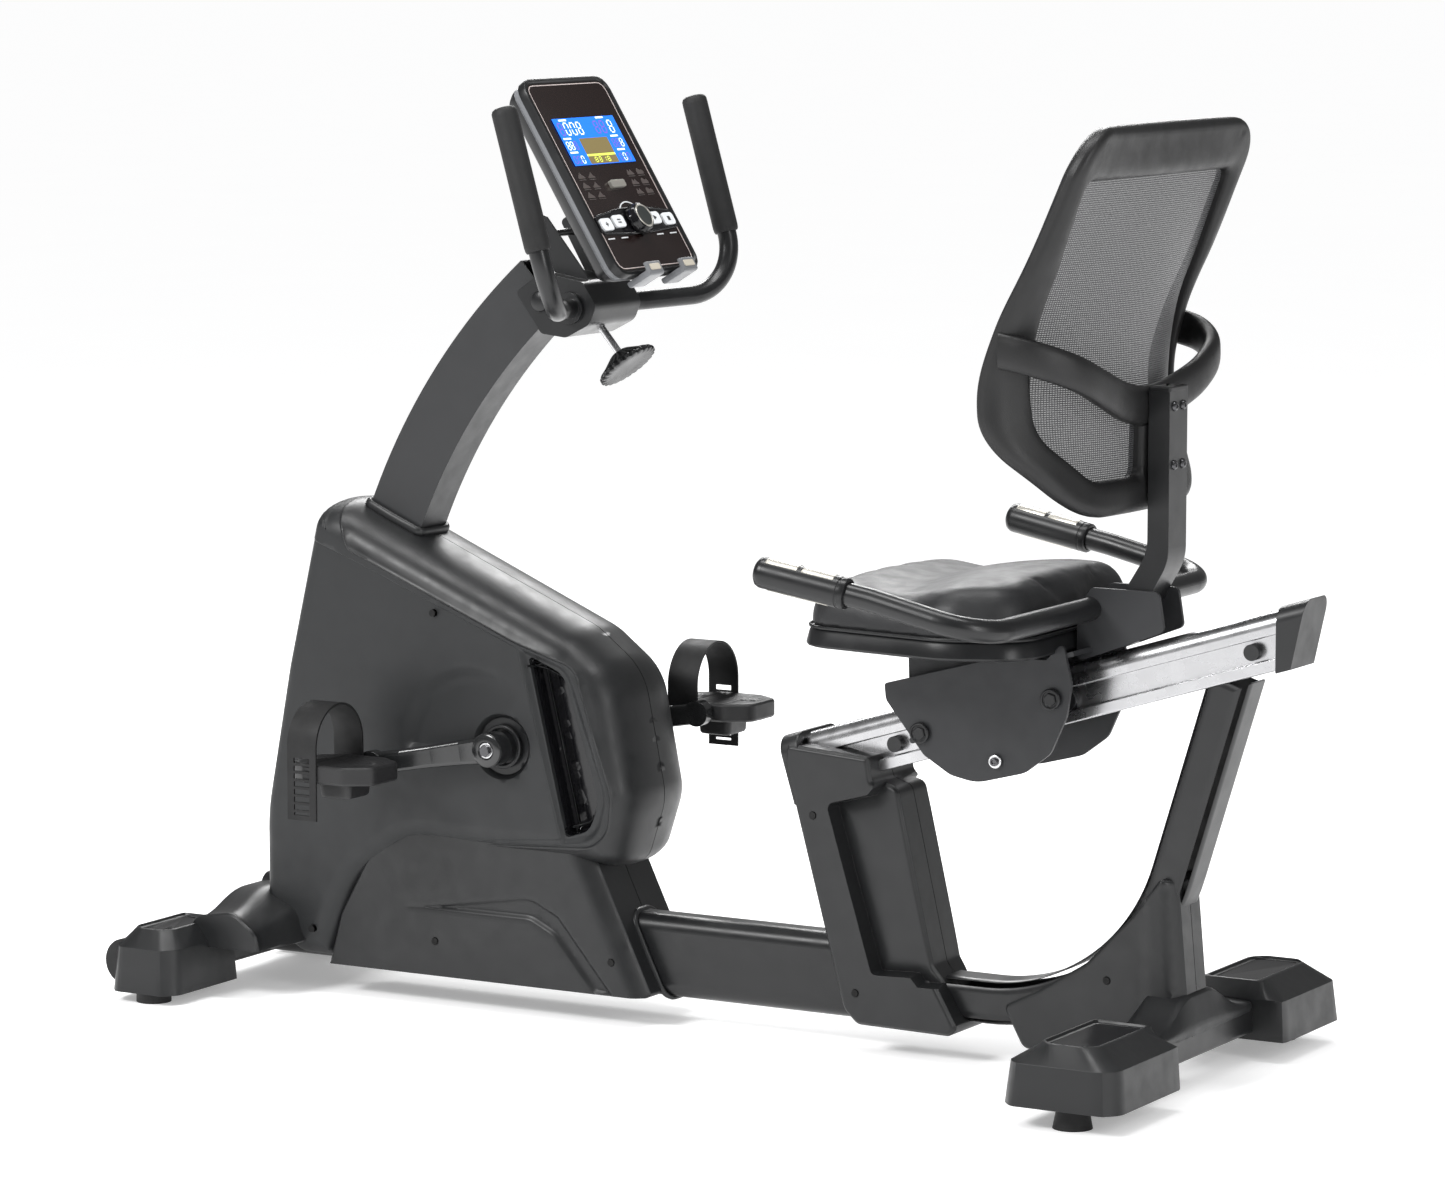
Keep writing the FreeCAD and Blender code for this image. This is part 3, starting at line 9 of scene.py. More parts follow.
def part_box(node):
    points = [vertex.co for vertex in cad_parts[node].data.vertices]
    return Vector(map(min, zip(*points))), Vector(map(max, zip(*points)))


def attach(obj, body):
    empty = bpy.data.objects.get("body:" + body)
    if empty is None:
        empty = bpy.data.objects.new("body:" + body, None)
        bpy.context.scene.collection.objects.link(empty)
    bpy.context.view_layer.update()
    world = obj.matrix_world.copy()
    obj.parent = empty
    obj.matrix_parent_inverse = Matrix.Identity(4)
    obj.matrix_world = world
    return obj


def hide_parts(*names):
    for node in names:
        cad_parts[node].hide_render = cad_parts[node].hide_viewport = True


# Recumbent exercise bike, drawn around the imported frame. Shapes below are in millimetres in
# the bike's drawing frame. Adding SHIFT to a drawing X gives the row frame's X, and shapes become
# metres when a mesh is made. +X is the rear, +Z is up and -Y is the rider's left.

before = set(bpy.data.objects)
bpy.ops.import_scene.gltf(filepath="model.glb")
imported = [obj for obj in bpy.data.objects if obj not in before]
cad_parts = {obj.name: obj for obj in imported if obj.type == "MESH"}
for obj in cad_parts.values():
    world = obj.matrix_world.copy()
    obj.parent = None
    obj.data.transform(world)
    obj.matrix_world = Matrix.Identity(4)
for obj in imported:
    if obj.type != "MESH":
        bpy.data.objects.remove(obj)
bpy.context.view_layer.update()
MM = 0.001
SIDES = {"left": -1, "right": 1}
CRANK = Vector((-307, 0, 352))
axle_low, axle_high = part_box("crank_axle")
SHIFT = (axle_low[0] + axle_high[0]) / 2 / MM - CRANK.x


# ------------------------------------------------------------------ materials

MIX_FIRST_COLOR, MIX_SECOND_COLOR, MIX_COLOR_RESULT = 6, 7, 2
WAVES_A_UNIT = 20
COURSE_PITCH, WALE_PITCH = 0.0026, 0.0034
THINNEST_YARN = 0.66

def new_material(name, color, roughness, metallic=0.0):
    """Principled material with its constants set on the shader's own sockets."""
    material = bpy.data.materials.new(name)
    material.use_nodes = True
    shader = material.node_tree.nodes["Principled BSDF"]
    shader.inputs["Base Color"].default_value = (*color, 1)
    shader.inputs["Roughness"].default_value = roughness
    shader.inputs["Metallic"].default_value = metallic
    return material, material.node_tree, shader


def place(tree, stretch=(1, 1, 1)):
    """Object coordinates, stretched for directional grain."""
    source = tree.nodes.new("ShaderNodeTexCoord")
    mapping = tree.nodes.new("ShaderNodeMapping")
    mapping.inputs["Scale"].default_value = stretch
    tree.links.new(source.outputs["Object"], mapping.inputs["Vector"])
    return mapping.outputs["Vector"]


def noise(tree, vector, scale, detail=3.0):
    """Noise value at so many cells a metre."""
    texture = tree.nodes.new("ShaderNodeTexNoise")
    texture.inputs["Scale"].default_value = scale
    texture.inputs["Detail"].default_value = detail
    tree.links.new(vector, texture.inputs["Vector"])
    return texture.outputs["Fac"]


def spread(tree, value, low, high, from_low=0.3, from_high=0.7):
    """Value mapped onto a range."""
    ramp = tree.nodes.new("ShaderNodeMapRange")
    ramp.inputs["From Min"].default_value = from_low
    ramp.inputs["From Max"].default_value = from_high
    ramp.inputs["To Min"].default_value = low
    ramp.inputs["To Max"].default_value = high
    tree.links.new(value, ramp.inputs["Value"])
    return ramp.outputs["Result"]


def tint(tree, value, dark, light):
    """Colour between two tones."""
    mix = tree.nodes.new("ShaderNodeMix")
    mix.data_type = "RGBA"
    mix.inputs[MIX_FIRST_COLOR].default_value = (*dark, 1)
    mix.inputs[MIX_SECOND_COLOR].default_value = (*light, 1)
    tree.links.new(value, mix.inputs["Factor"])
    return mix.outputs[MIX_COLOR_RESULT]


def bump(tree, shader, value, depth, edge=0.0):
    """Surface relief of so many metres, with sharp edges softened by a small radius."""
    node = tree.nodes.new("ShaderNodeBump")
    node.inputs["Strength"].default_value = 1.0
    node.inputs["Distance"].default_value = depth
    if edge:
        soft = tree.nodes.new("ShaderNodeBevel")
        soft.samples = 4
        soft.inputs["Radius"].default_value = edge
        tree.links.new(soft.outputs["Normal"], node.inputs["Normal"])
    tree.links.new(value, node.inputs["Height"])
    tree.links.new(node.outputs["Normal"], shader.inputs["Normal"])


def moulded(name, color, roughness, grain=1400, depth=0.00004, metallic=0.0,
            stretch=(1, 1, 1), variation=0.16, specular=0.42, edge=0.0011):
    """Moulded or painted surface: slow colour drift, uneven gloss and a fine grain."""
    material, tree, shader = new_material(name, color, roughness, metallic)
    shader.inputs["Specular IOR Level"].default_value = specular
    even = place(tree)
    drift = noise(tree, even, 9, 4)
    dark = tuple(c * (1 - variation) for c in color)
    light = tuple(min(1, c * (1 + variation)) for c in color)
    tree.links.new(tint(tree, drift, dark, light), shader.inputs["Base Color"])
    smears = noise(tree, even, 38, 5)
    tree.links.new(spread(tree, smears, roughness * 0.86, roughness * 1.16), shader.inputs["Roughness"])
    bump(tree, shader, noise(tree, place(tree, stretch), grain, 2), depth, edge)
    return material


def glowing(name, color, strength):
    """Back-lit display segment with a faint pixel grid."""
    material, tree, shader = new_material(name, color, 0.25)
    shader.inputs["Emission Strength"].default_value = strength
    grid = noise(tree, place(tree), 2500, 1)
    dark = tuple(c * 0.82 for c in color)
    tree.links.new(tint(tree, grid, dark, color), shader.inputs["Emission Color"])
    return material


def wave(tree, vector, axis, pitch):
    """Sine bands across an axis, 0 to 1, one each pitch in metres."""
    texture = tree.nodes.new("ShaderNodeTexWave")
    texture.wave_type = "BANDS"
    texture.bands_direction = axis
    texture.inputs["Scale"].default_value = 2 * math.pi / (WAVES_A_UNIT * pitch)
    texture.inputs["Distortion"].default_value = 0.0
    tree.links.new(vector, texture.inputs["Vector"])
    return texture.outputs["Fac"]


def open_mesh(name):
    """Knitted mesh: courses across, finer wales up, small open cells between."""
    material, tree, shader = new_material(name, (0.020, 0.0205, 0.022), 0.55)
    shader.inputs["Sheen Weight"].default_value = 0.12
    shader.inputs["Sheen Roughness"].default_value = 0.4
    at = place(tree)
    wobble = tree.nodes.new("ShaderNodeVectorMath")
    wobble.operation = "ADD"
    shiver = tree.nodes.new("ShaderNodeTexNoise")
    shiver.inputs["Scale"].default_value = 320
    scaled = tree.nodes.new("ShaderNodeVectorMath")
    scaled.operation = "SCALE"
    scaled.inputs["Scale"].default_value = 0.0012
    tree.links.new(at, shiver.inputs["Vector"])
    tree.links.new(shiver.outputs["Color"], scaled.inputs[0])
    tree.links.new(at, wobble.inputs[0])
    tree.links.new(scaled.outputs["Vector"], wobble.inputs[1])
    courses = wave(tree, wobble.outputs["Vector"], "Z", COURSE_PITCH)
    wales = wave(tree, wobble.outputs["Vector"], "Y", WALE_PITCH)
    knit = tree.nodes.new("ShaderNodeMath")
    knit.operation = "MAXIMUM"
    tree.links.new(spread(tree, courses, THINNEST_YARN, 1.0, 0.35, 0.6), knit.inputs[0])
    tree.links.new(spread(tree, wales, THINNEST_YARN, 0.94, 0.6, 0.85), knit.inputs[1])
    tree.links.new(knit.outputs["Value"], shader.inputs["Alpha"])
    tree.links.new(tint(tree, courses, (0.012, 0.012, 0.013), (0.055, 0.056, 0.060)),
                   shader.inputs["Base Color"])
    bump(tree, shader, courses, 0.0004)
    return material


# Colour, roughness, grain in cells a metre, its depth in metres, and what differs from moulded's usual.
MOULDED = {
    "shell": ((0.0108, 0.0113, 0.0120), 0.40, 1500, 0.00003, {"specular": 0.48}),
    "panel": ((0.0150, 0.0159, 0.0168), 0.46, 1700, 0.00005, {}),
    "gloss": ((0.006, 0.006, 0.007), 0.10, 500, 0.00001, {}),
    # hole: near-black painted shade for the insides of screw holes and the screws in them.
    "hole": ((0.002, 0.002, 0.002), 0.7, 900, 0.00001, {"edge": 0}),
    "paint": ((0.0084, 0.0087, 0.0094), 0.32, 1100, 0.00004, {"specular": 0.48}),
    "mast_paint": ((0.0240, 0.0247, 0.0260), 0.40, 1100, 0.00004, {}),
    "plate_paint": ((0.0200, 0.0207, 0.0225), 0.50, 900, 0.00010, {}),
    "crank_paint": ((0.012, 0.0125, 0.013), 0.18, 600, 0.00003, {"specular": 0.7}),
    "trim": ((0.0082, 0.0085, 0.0092), 0.34, 1400, 0.00004, {}),
    "rubber": ((0.0080, 0.0080, 0.0084), 0.60, 1800, 0.00006, {}),
    "foam": ((0.0104, 0.0104, 0.0108), 0.62, 1500, 0.00020, {"variation": 0.25}),
    "skin": ((0.0097, 0.0097, 0.0101), 0.44, 950, 0.00020, {"edge": 0}),
    "vinyl": ((0.0140, 0.0143, 0.0154), 0.46, 700, 0.00022, {"edge": 0}),
    "pedal_plastic": ((0.0144, 0.0144, 0.0152), 0.46, 1100, 0.00007, {}),
    "grey_plastic": ((0.17, 0.175, 0.185), 0.34, 1300, 0.00004, {}),
    "grey_dark": ((0.030, 0.034, 0.033), 0.30, 900, 0.00003, {}),
    "silver": ((0.56, 0.54, 0.49), 0.34, 900, 0.00003, {"metallic": 0.75}),
    "steel_dark": ((0.10, 0.10, 0.105), 0.25, 700, 0.00003, {"metallic": 0.9}),
    "steel": ((0.62, 0.62, 0.63), 0.22, 700, 0.00004, {"metallic": 1.0}),
    "iron": ((0.20, 0.20, 0.21), 0.38, 700, 0.00008, {"metallic": 0.9}),
    "aluminium": ((0.50, 0.50, 0.51), 0.27, 900, 0.00003,
                  {"metallic": 1.0, "stretch": (0.02, 1, 0.3), "variation": 0.05}),
    "white_key": ((0.74, 0.76, 0.78), 0.35, 900, 0.00003, {"variation": 0.04}),
    "beige": ((0.50, 0.46, 0.38), 0.5, 900, 0.00003, {"variation": 0.05}),
    "face": ((0.0115, 0.0062, 0.0056), 0.16, 300, 0.000004, {"variation": 0.06}),
    "icon": ((0.075, 0.062, 0.058), 0.4, 900, 0.00002, {}),
    "line": ((0.60, 0.52, 0.50), 0.4, 900, 0.00002, {"variation": 0.05}),
}
# Colour and strength.
GLOWING = {
    "lcd_blue": ((0.010, 0.16, 0.85), 0.55),
    "lcd_white": ((0.80, 0.88, 1.0), 0.8),
    "lcd_purple": ((0.16, 0.10, 0.66), 0.5),
    "lcd_olive": ((0.16, 0.125, 0.05), 0.6),
    "lcd_lime": ((0.62, 0.72, 0.10), 0.8),
}


def make_materials():
    """Every finish on the bike, by name."""
    made = {}
    for name, (color, roughness, grain, depth, extra) in MOULDED.items():
        made[name] = moulded(name, color, roughness, grain, depth, **extra)
    for name, (color, strength) in GLOWING.items():
        made[name] = glowing(name, color, strength)
    made["mesh_cloth"] = open_mesh("mesh_cloth")
    return made


MATERIALS = make_materials()


# ------------------------------------------------------------------ mesh tools

HALF_GAP = 0.6
HOLE_RADIUS = 4.6
# Cover finishes; hole is the near-black painted shade inside screw holes.
COVER_FINISHES = ["shell", "hole"]

def make_piece(name, vertices, faces, body, materials, slot=None, sharp=40, indices=None):
    """Mesh in metres from millimetre vertices, riding on a body."""
    mesh = bpy.data.meshes.new(name)
    placed = [((v[0] + SHIFT) * MM, v[1] * MM, v[2] * MM) for v in vertices]
    mesh.from_pydata(placed, [], [tuple(f) for f in faces])
    names = [materials] if isinstance(materials, str) else materials
    for material_name in names:
        mesh.materials.append(MATERIALS[material_name])
    if indices is not None:
        mesh.polygons.foreach_set("material_index", indices)
    mesh.validate()
    mesh.polygons.foreach_set("use_smooth", [True] * len(mesh.polygons))
    mesh.set_sharp_from_angle(angle=math.radians(sharp))
    obj = bpy.data.objects.new(name, mesh)
    bpy.context.scene.collection.objects.link(obj)
    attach(obj, body)
    return obj


def rectangle(x0, y0, x1, y1):
    """Corners of a rectangle."""
    return [(x0, y0), (x1, y0), (x1, y1), (x0, y1)]


def rounded(points, radii, step=4.0):
    """Closed 2-D outline through points, each corner turned by an arc of its radius."""
    if isinstance(radii, (int, float)):
        radii = [radii] * len(points)
    count = len(points)
    outline = []
    for i in range(count):
        corner = Vector(points[i])
        before = (Vector(points[i - 1]) - corner)
        after = (Vector(points[(i + 1) % count]) - corner)
        reach = min(before.length, after.length) * 0.499
        before.normalize()
        after.normalize()
        half = before.angle(after) / 2
        radius = min(radii[i], reach * math.tan(half))
        if radius < 0.2 or half > 1.56:
            outline.append(corner)
            continue
        cut = radius / math.tan(half)
        start, end = corner + before * cut, corner + after * cut
        centre = corner + (before + after).normalized() * (radius / math.sin(half))
        turn = math.pi - 2 * half
        pieces = max(2, math.ceil(max(turn * radius / step, turn / 0.3)))
        for k in range(pieces + 1):
            share = k / pieces
            blend = (start - centre) * math.sin((1 - share) * turn) + (end - centre) * math.sin(share * turn)
            outline.append(centre + blend / math.sin(turn))
    return resample(np.array([tuple(p) for p in outline]), step)


def resample(loop, step):
    """Closed loop with its long runs divided."""
    points = []
    for a, b in zip(loop, np.roll(loop, -1, 0)):
        pieces = max(1, math.ceil(np.linalg.norm(b - a) / step))
        points += [a + (b - a) * k / pieces for k in range(pieces)]
    return np.array(points)


def to_loop(points, loop):
    """Signed distance from points to a closed loop, positive inside, and the nearest index."""
    nxt = np.roll(loop, -1, 0)
    along = nxt - loop
    lengths = np.maximum((along ** 2).sum(1), 1e-9)
    distances, nearest = [], []
    for start in range(0, len(points), 2000):
        p = points[start:start + 2000, None, :]
        share = np.clip(((p - loop) * along).sum(-1) / lengths, 0, 1)
        gap = np.linalg.norm(p - (loop + share[..., None] * along), axis=-1)
        crosses = (loop[:, 1] > p[..., 1]) != (nxt[:, 1] > p[..., 1])
        climb = np.where(along[:, 1] == 0, 1e-9, along[:, 1])
        at = loop[:, 0] + (p[..., 1] - loop[:, 1]) / climb * along[:, 0]
        inside = (crosses & (p[..., 0] < at)).sum(1) % 2 == 1
        closest = gap.argmin(1)
        least = gap[np.arange(len(closest)), closest]
        distances.append(np.where(inside, least, -least))
        nearest.append(closest)
    return np.concatenate(distances), np.concatenate(nearest)


def offset_loop(loop, inward):
    """Points of a loop moved inward along its normals, and whether each is still that far in."""
    tangent = np.roll(loop, -1, 0) - np.roll(loop, 1, 0)
    tangent /= np.maximum(np.linalg.norm(tangent, axis=1), 1e-9)[:, None]
    normal = np.stack([-tangent[:, 1], tangent[:, 0]], 1)
    area = (loop[:, 0] * np.roll(loop[:, 1], -1) - np.roll(loop[:, 0], -1) * loop[:, 1]).sum()
    if area < 0:
        normal = -normal
    moved = loop + normal * inward
    distance, _ = to_loop(moved, loop)
    return moved, np.abs(distance - inward) < 0.12 + abs(inward) * 0.02


def smooth(value, low, high):
    """0 below low, 1 above high, eased between."""
    share = np.clip((value - low) / (high - low), 0, 1)
    return share * share * (3 - 2 * share)


def relief_mesh(outline, rings, loops, spacing, height):
    """Triangulated sheet inside an outline. rings are insets of the outline, loops are
    (loop, insets) feature lines, and height(points) gives the sheet's third coordinate."""
    points = [outline]
    edges = [(i, (i + 1) % len(outline)) for i in range(len(outline))]
    total = len(outline)
    for loop, insets in [(outline, rings)] + loops:
        for inset in insets:
            moved, kept = offset_loop(loop, inset)
            within, _ = to_loop(moved, outline)
            kept &= within > 0.05
            numbers = np.cumsum(kept) - 1 + total
            for i in range(len(moved)):
                after = (i + 1) % len(moved)
                if kept[i] and kept[after]:
                    edges.append((int(numbers[i]), int(numbers[after])))
            points.append(moved[kept])
            total += int(kept.sum())
    low, high = outline.min(0), outline.max(0)
    across = np.arange(low[0], high[0], spacing)
    up = np.arange(low[1], high[1], spacing)
    grid = np.stack(np.meshgrid(across, up), -1).reshape(-1, 2)
    grid[:, 0] += (np.round((grid[:, 1] - low[1]) / spacing) % 2) * spacing / 2
    inside, _ = to_loop(grid, outline)
    clear = inside > max(rings + [0]) + spacing * 0.4
    placed = np.concatenate(points[1:]) if len(points) > 1 else np.zeros((0, 2))
    if len(placed):
        cells = set(map(tuple, np.floor(placed / (spacing * 0.5)).astype(int)))
        clear &= np.array([tuple(c) not in cells for c in np.floor(grid / (spacing * 0.5)).astype(int)])
    points.append(grid[clear])
    flat = np.concatenate(points)
    made, _, faces, _, _, _ = geometry.delaunay_2d_cdt([Vector(p) for p in flat], edges, [], 0, 1e-4, False)
    made = np.array([tuple(v) for v in made])
    faces = np.array([f for f in faces if len(f) == 3])
    centres = made[faces].mean(1)
    inside, _ = to_loop(centres, outline)
    faces = faces[inside > 0]
    return made, faces, height(made)


def side_relief(name, side, outline, rings, loops, spacing, height, materials, choose):
    """Half a casing: relief of a side view, standing out along Y, closed down to the middle plane."""
    flat, faces, rise = relief_mesh(outline, rings, loops, spacing, height)
    vertices = [(p[0], side * h, p[1]) for p, h in zip(flat, rise)]
    indices = choose(flat[faces].mean(1))
    faces = [tuple(f) for f in faces]
    count = len(outline)
    base = len(vertices)
    vertices += [(p[0], side * HALF_GAP, p[1]) for p in outline]
    walls = [(i, (i + 1) % count, base + (i + 1) % count, base + i) for i in range(count)]
    faces += walls
    indices = np.concatenate([indices, np.zeros(len(walls), int)]).astype(np.int32)
    return make_outward(name, vertices, faces, "frame", materials, "housing_plastic", 32, indices)


def face_outward(obj):
    """All faces of a mesh turned the same way, outward."""
    work = bmesh.new()
    work.from_mesh(obj.data)
    bmesh.ops.remove_doubles(work, verts=work.verts, dist=0.00001)
    bmesh.ops.recalc_face_normals(work, faces=work.faces)
    work.to_mesh(obj.data)
    work.free()


def make_outward(*facts):
    """Piece whose faces are all turned outward."""
    obj = make_piece(*facts)
    face_outward(obj)
    return obj


def loft(name, rings, body, materials, slot=None, sharp=40, joined=False):
    """Skin through closed rings of equal length: capped, or joined last to first."""
    count = len(rings[0])
    vertices = [tuple(p) for ring in rings for p in ring]
    faces = []
    for r in range(len(rings) if joined else len(rings) - 1):
        here, there = r * count, ((r + 1) % len(rings)) * count
        for i in range(count):
            j = (i + 1) % count
            faces.append((here + i, here + j, there + j, there + i))
    if not joined:
        faces.append(tuple(range(count))[::-1])
        faces.append(tuple(range((len(rings) - 1) * count, len(rings) * count)))
    return make_outward(name, vertices, faces, body, materials, slot, sharp)


def stepped(outline, stages, at):
    """Rings of an outline at each (station, inset), placed by at(station, point)."""
    return [[at(station, p) for p in (offset_loop(outline, inset)[0] if inset else outline)]
            for station, inset in stages]


def level(z, point):
    """Plan point at a height."""
    return point[0], point[1], z


def bead(name, outline, middle, first, second, away, wide, tall, body="frame", material="shell",
         slot="housing_plastic", lifts=None, count=10):
    """Bead round an outline in the plane of two directions, lifted along a third."""
    middle, first, second, away = (np.array(v, float) for v in (middle, first, second, away))
    if lifts is None:
        lifts = np.zeros(len(outline))
    rings = []
    for (u, v), lift in zip(outline, lifts):
        out = (first * u + second * v) / math.hypot(u, v)
        centre = middle + first * u + second * v + away * lift
        rings.append([centre + out * wide * math.cos(a) + away * tall * math.sin(a)
                      for a in np.arange(count) * 2 * math.pi / count])
    loft(name, rings, body, material, slot, joined=True, sharp=60)


def turned(name, placements, profile, body, materials, slot=None, count=32, sharp=35, ripple=None):
    """Turned pieces, one for each (base point, axis), from a profile of (radius, height)."""
    vertices, faces = [], []
    for base, axis in placements:
        axis = Vector(axis).normalized()
        side = axis.orthogonal().normalized()
        other = axis.cross(side)
        start = len(vertices)
        for radius, height in profile:
            for k in range(count):
                angle = 2 * math.pi * k / count
                reach = radius * (1 + (ripple(angle, height) if ripple else 0))
                spoke = side * math.cos(angle) + other * math.sin(angle)
                vertices.append(tuple(Vector(base) + axis * height + spoke * reach))
        for r in range(len(profile) - 1):
            for k in range(count):
                j = (k + 1) % count
                a, b = start + r * count, start + (r + 1) * count
                faces.append((a + k, a + j, b + j, b + k))
    return make_outward(name, vertices, faces, body, materials, slot, sharp)


def even(loop, count):
    """The same loop with so many evenly spaced points, from its first point."""
    closed = np.concatenate([loop, loop[:1]])
    stations = np.concatenate([[0], np.cumsum(np.linalg.norm(np.diff(closed, axis=0), axis=1))])
    at = np.arange(count) * stations[-1] / count
    return np.stack([np.interp(at, stations, closed[:, k]) for k in range(2)], 1)


def circle(centre, radius, count=40):
    """Points round a circle in a side view."""
    angles = np.arange(count) * 2 * math.pi / count
    return np.stack([centre[0] + radius * np.cos(angles), centre[1] + radius * np.sin(angles)], 1)


def hole_loops(holes):
    """Feature lines round screw holes."""
    return [(circle(hole, HOLE_RADIUS, 20), [-0.4, 0.2, 0.8]) for hole in holes]


def drilled(rise, points, holes, depth):
    """Relief with screw holes sunk into it."""
    for hole in holes:
        away = np.linalg.norm(points - np.array(hole), axis=1)
        rise = rise - depth * (1 - smooth(away, HOLE_RADIUS - 0.7, HOLE_RADIUS + 0.3))
    return rise


def hole_zone(holes):
    """Chooser that marks the insides of screw holes, which get the near-black painted shade."""
    def choose(centres):
        zone = np.zeros(len(centres), int)
        for hole in holes:
            zone[np.linalg.norm(centres - np.array(hole), axis=1) < HOLE_RADIUS] = COVER_FINISHES.index("hole")
        return zone
    return choose


# ------------------------------------------------------------------ main housing

BODY_OUTLINE = rounded(
    [(-640, 40), (-692, 70), (-692, 240), (-655, 435), (-604, 650), (-560, 655), (-455, 609),
     (-212, 505), (-143, 452), (-111, 290), (-140, 200), (-450, 203), (-530, 150), (-577, 40)],
    [20, 30, 300, 300, 32, 60, 200, 90, 90, 75, 34, 70, 90, 2], 5)
LIP = rounded([(-575, 668), (-540, 594), (-284, 489), (-196, 462), (-142, 299), (-152, 232),
               (-455, 212), (-540, 158), (-590, 20), (-720, 20), (-720, 668)],
              [4, 10, 200, 40, 60, 46, 70, 90, 2, 2, 2], 5)
PANEL = rounded([(-700, 640), (-536, 580), (-283, 481), (-219, 239), (-458, 216), (-536, 158),
                 (-590, 20), (-720, 20)], [2, 3, 3, 3, 70, 90, 2, 2], 5)
VENT = rounded([(-283, 486), (-205, 462), (-147, 298), (-162, 240), (-219, 229)], [3, 40, 60, 40, 5], 4)
OPENING = rounded([(-269, 473), (-215, 452), (-163, 290), (-178, 252), (-213, 241)], [4, 34, 50, 26, 5], 4)
HALF_WIDTH = 88.0
CROWN_REACH = 46.0
CROWN_POWER = 2.3
FRONT_REACH = 30.0
LIP_STEP, LIP_RIDGE = 3.0, 1.0
PANEL_STEP, PANEL_GROOVE = 1.0, 1.1
RECESS_DEPTH, RECESS_RADIUS = 7.0, 43
DISH_CENTRE, DISH_DEPTH, DISH_RADIUS, DISH_HEADING = (-352, 345), 11.0, 100, 150
VENT_STEP, OPENING_STEP, OPENING_FALL = 5.0, 24.0, 12.0
# Housing finishes; hole is the near-black painted shade inside screw holes.
HOUSING_FINISHES = ["shell", "panel", "trim", "gloss", "hole"]
SCREW_HOLES = [(-602, 87), (-417, 86), (-149, 84), (-409, 519)]


def crown_reach(outline):
    """How far in the crown runs at each outline point: shorter along the front edge."""
    tangent = np.roll(outline, -1, 0) - np.roll(outline, 1, 0)
    facing_front = (outline[:, 0] < -590) & (np.abs(tangent[:, 1]) > np.abs(tangent[:, 0]))
    reach = np.where(facing_front, FRONT_REACH, CROWN_REACH)
    kernel = np.ones(9) / 9
    padded = np.concatenate([reach[-4:], reach, reach[:4]])
    return np.convolve(padded, kernel, "valid")


def housing_height(points):
    """How far the main housing stands out from the middle plane."""
    depth, nearest = to_loop(points, BODY_OUTLINE)
    reach = crown_reach(BODY_OUTLINE)[nearest]
    share = np.clip(1 - np.maximum(depth, 0) / reach, 0, 1)
    rise = HALF_WIDTH * np.power(np.maximum(1 - share ** CROWN_POWER, 0), 1 / CROWN_POWER)
    lip, _ = to_loop(points, LIP)
    rise += LIP_RIDGE * np.exp(-((lip + 1.5) / 1.5) ** 2) * smooth(depth, 8, 20)
    rise -= LIP_STEP * smooth(lip, 0.2, 2.4)
    panel, _ = to_loop(points, PANEL)
    rise -= PANEL_STEP * smooth(panel, 0.0, 1.2)
    rise -= PANEL_GROOVE * np.exp(-(panel / 0.7) ** 2)
    away = np.linalg.norm(points - np.array([CRANK.x, CRANK.z]), axis=1)
    rise -= RECESS_DEPTH * (1 - smooth(away, RECESS_RADIUS - 6, RECESS_RADIUS))
    dish = points - np.array(DISH_CENTRE)
    radius = np.linalg.norm(dish, axis=1)
    heading = np.arctan2(dish[:, 1], dish[:, 0])
    window = np.clip(np.cos((heading - math.radians(DISH_HEADING)) * 0.85), 0, 1)
    rise -= DISH_DEPTH * window * np.clip(radius / DISH_RADIUS, 0, 1) ** 2 * (1 - smooth(radius, 84, 112))
    vent, _ = to_loop(points, VENT)
    rise -= VENT_STEP * smooth(vent, 0.5, 9)
    opening, _ = to_loop(points, OPENING)
    rise -= OPENING_STEP * smooth(opening, 0.0, 2.5) + OPENING_FALL * smooth(opening, 2.5, 16)
    return np.maximum(drilled(rise, points, SCREW_HOLES, 10.0), HALF_GAP)


def housing_zone(centres):
    """Material of each face: shell, inset panel, glossy opening, or near-black painted shade in the screw
    holes.
    """
    zone = np.zeros(len(centres), int)
    lip, _ = to_loop(centres, LIP)
    zone[lip > 1.5] = HOUSING_FINISHES.index("panel")
    away = np.linalg.norm(centres - np.array([CRANK.x, CRANK.z]), axis=1)
    zone[away < RECESS_RADIUS - 3.5] = HOUSING_FINISHES.index("trim")
    opening, _ = to_loop(centres, OPENING)
    zone[opening > 0.6] = HOUSING_FINISHES.index("gloss")
    zone[hole_zone(SCREW_HOLES)(centres) > 0] = HOUSING_FINISHES.index("hole")
    return zone


def housing_body(side_name):
    """Crowned upper body with its lip, inset panel, crank dish and vent."""
    rings = [0.15, 0.5, 1.1, 2, 3.4, 5.5, 8, 11.5, 16, 21, 27, 34, 41, 46]
    loops = [(LIP, [-3, -1.6, -0.4, 0.6, 1.6, 2.6]),
             (PANEL, [-1.2, -0.5, 0.0, 0.5, 1.3]),
             (VENT, [0, 1.5, 4, 7, 9]),
             (OPENING, [0, 0.8, 1.6, 2.6, 6, 10, 15]),
             (circle((CRANK.x, CRANK.z), RECESS_RADIUS, 60), [0, 2, 4, 6])]
    shell = side_relief("housing_" + side_name + "_body", SIDES[side_name], BODY_OUTLINE, rings,
                        loops + hole_loops(SCREW_HOLES), 6.0, housing_height,
                        HOUSING_FINISHES, housing_zone)
    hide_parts("housing_" + side_name)


SKIRT_OUTLINE = rounded([(-584, 40), (-97, 40), (-176, 205), (-195, 236), (-440, 236), (-520, 190),
                         (-565, 110)], [3, 5, 4, 6, 20, 60, 60], 5)
SKIRT_HALF_WIDTH = 75.0
BLADE = rounded([(-471, 127), (-272, 158), (-228, 138), (-143, 38), (-176, 40), (-237, 110),
                 (-272, 127)], [1, 40, 30, 2, 2, 30, 30], 4)


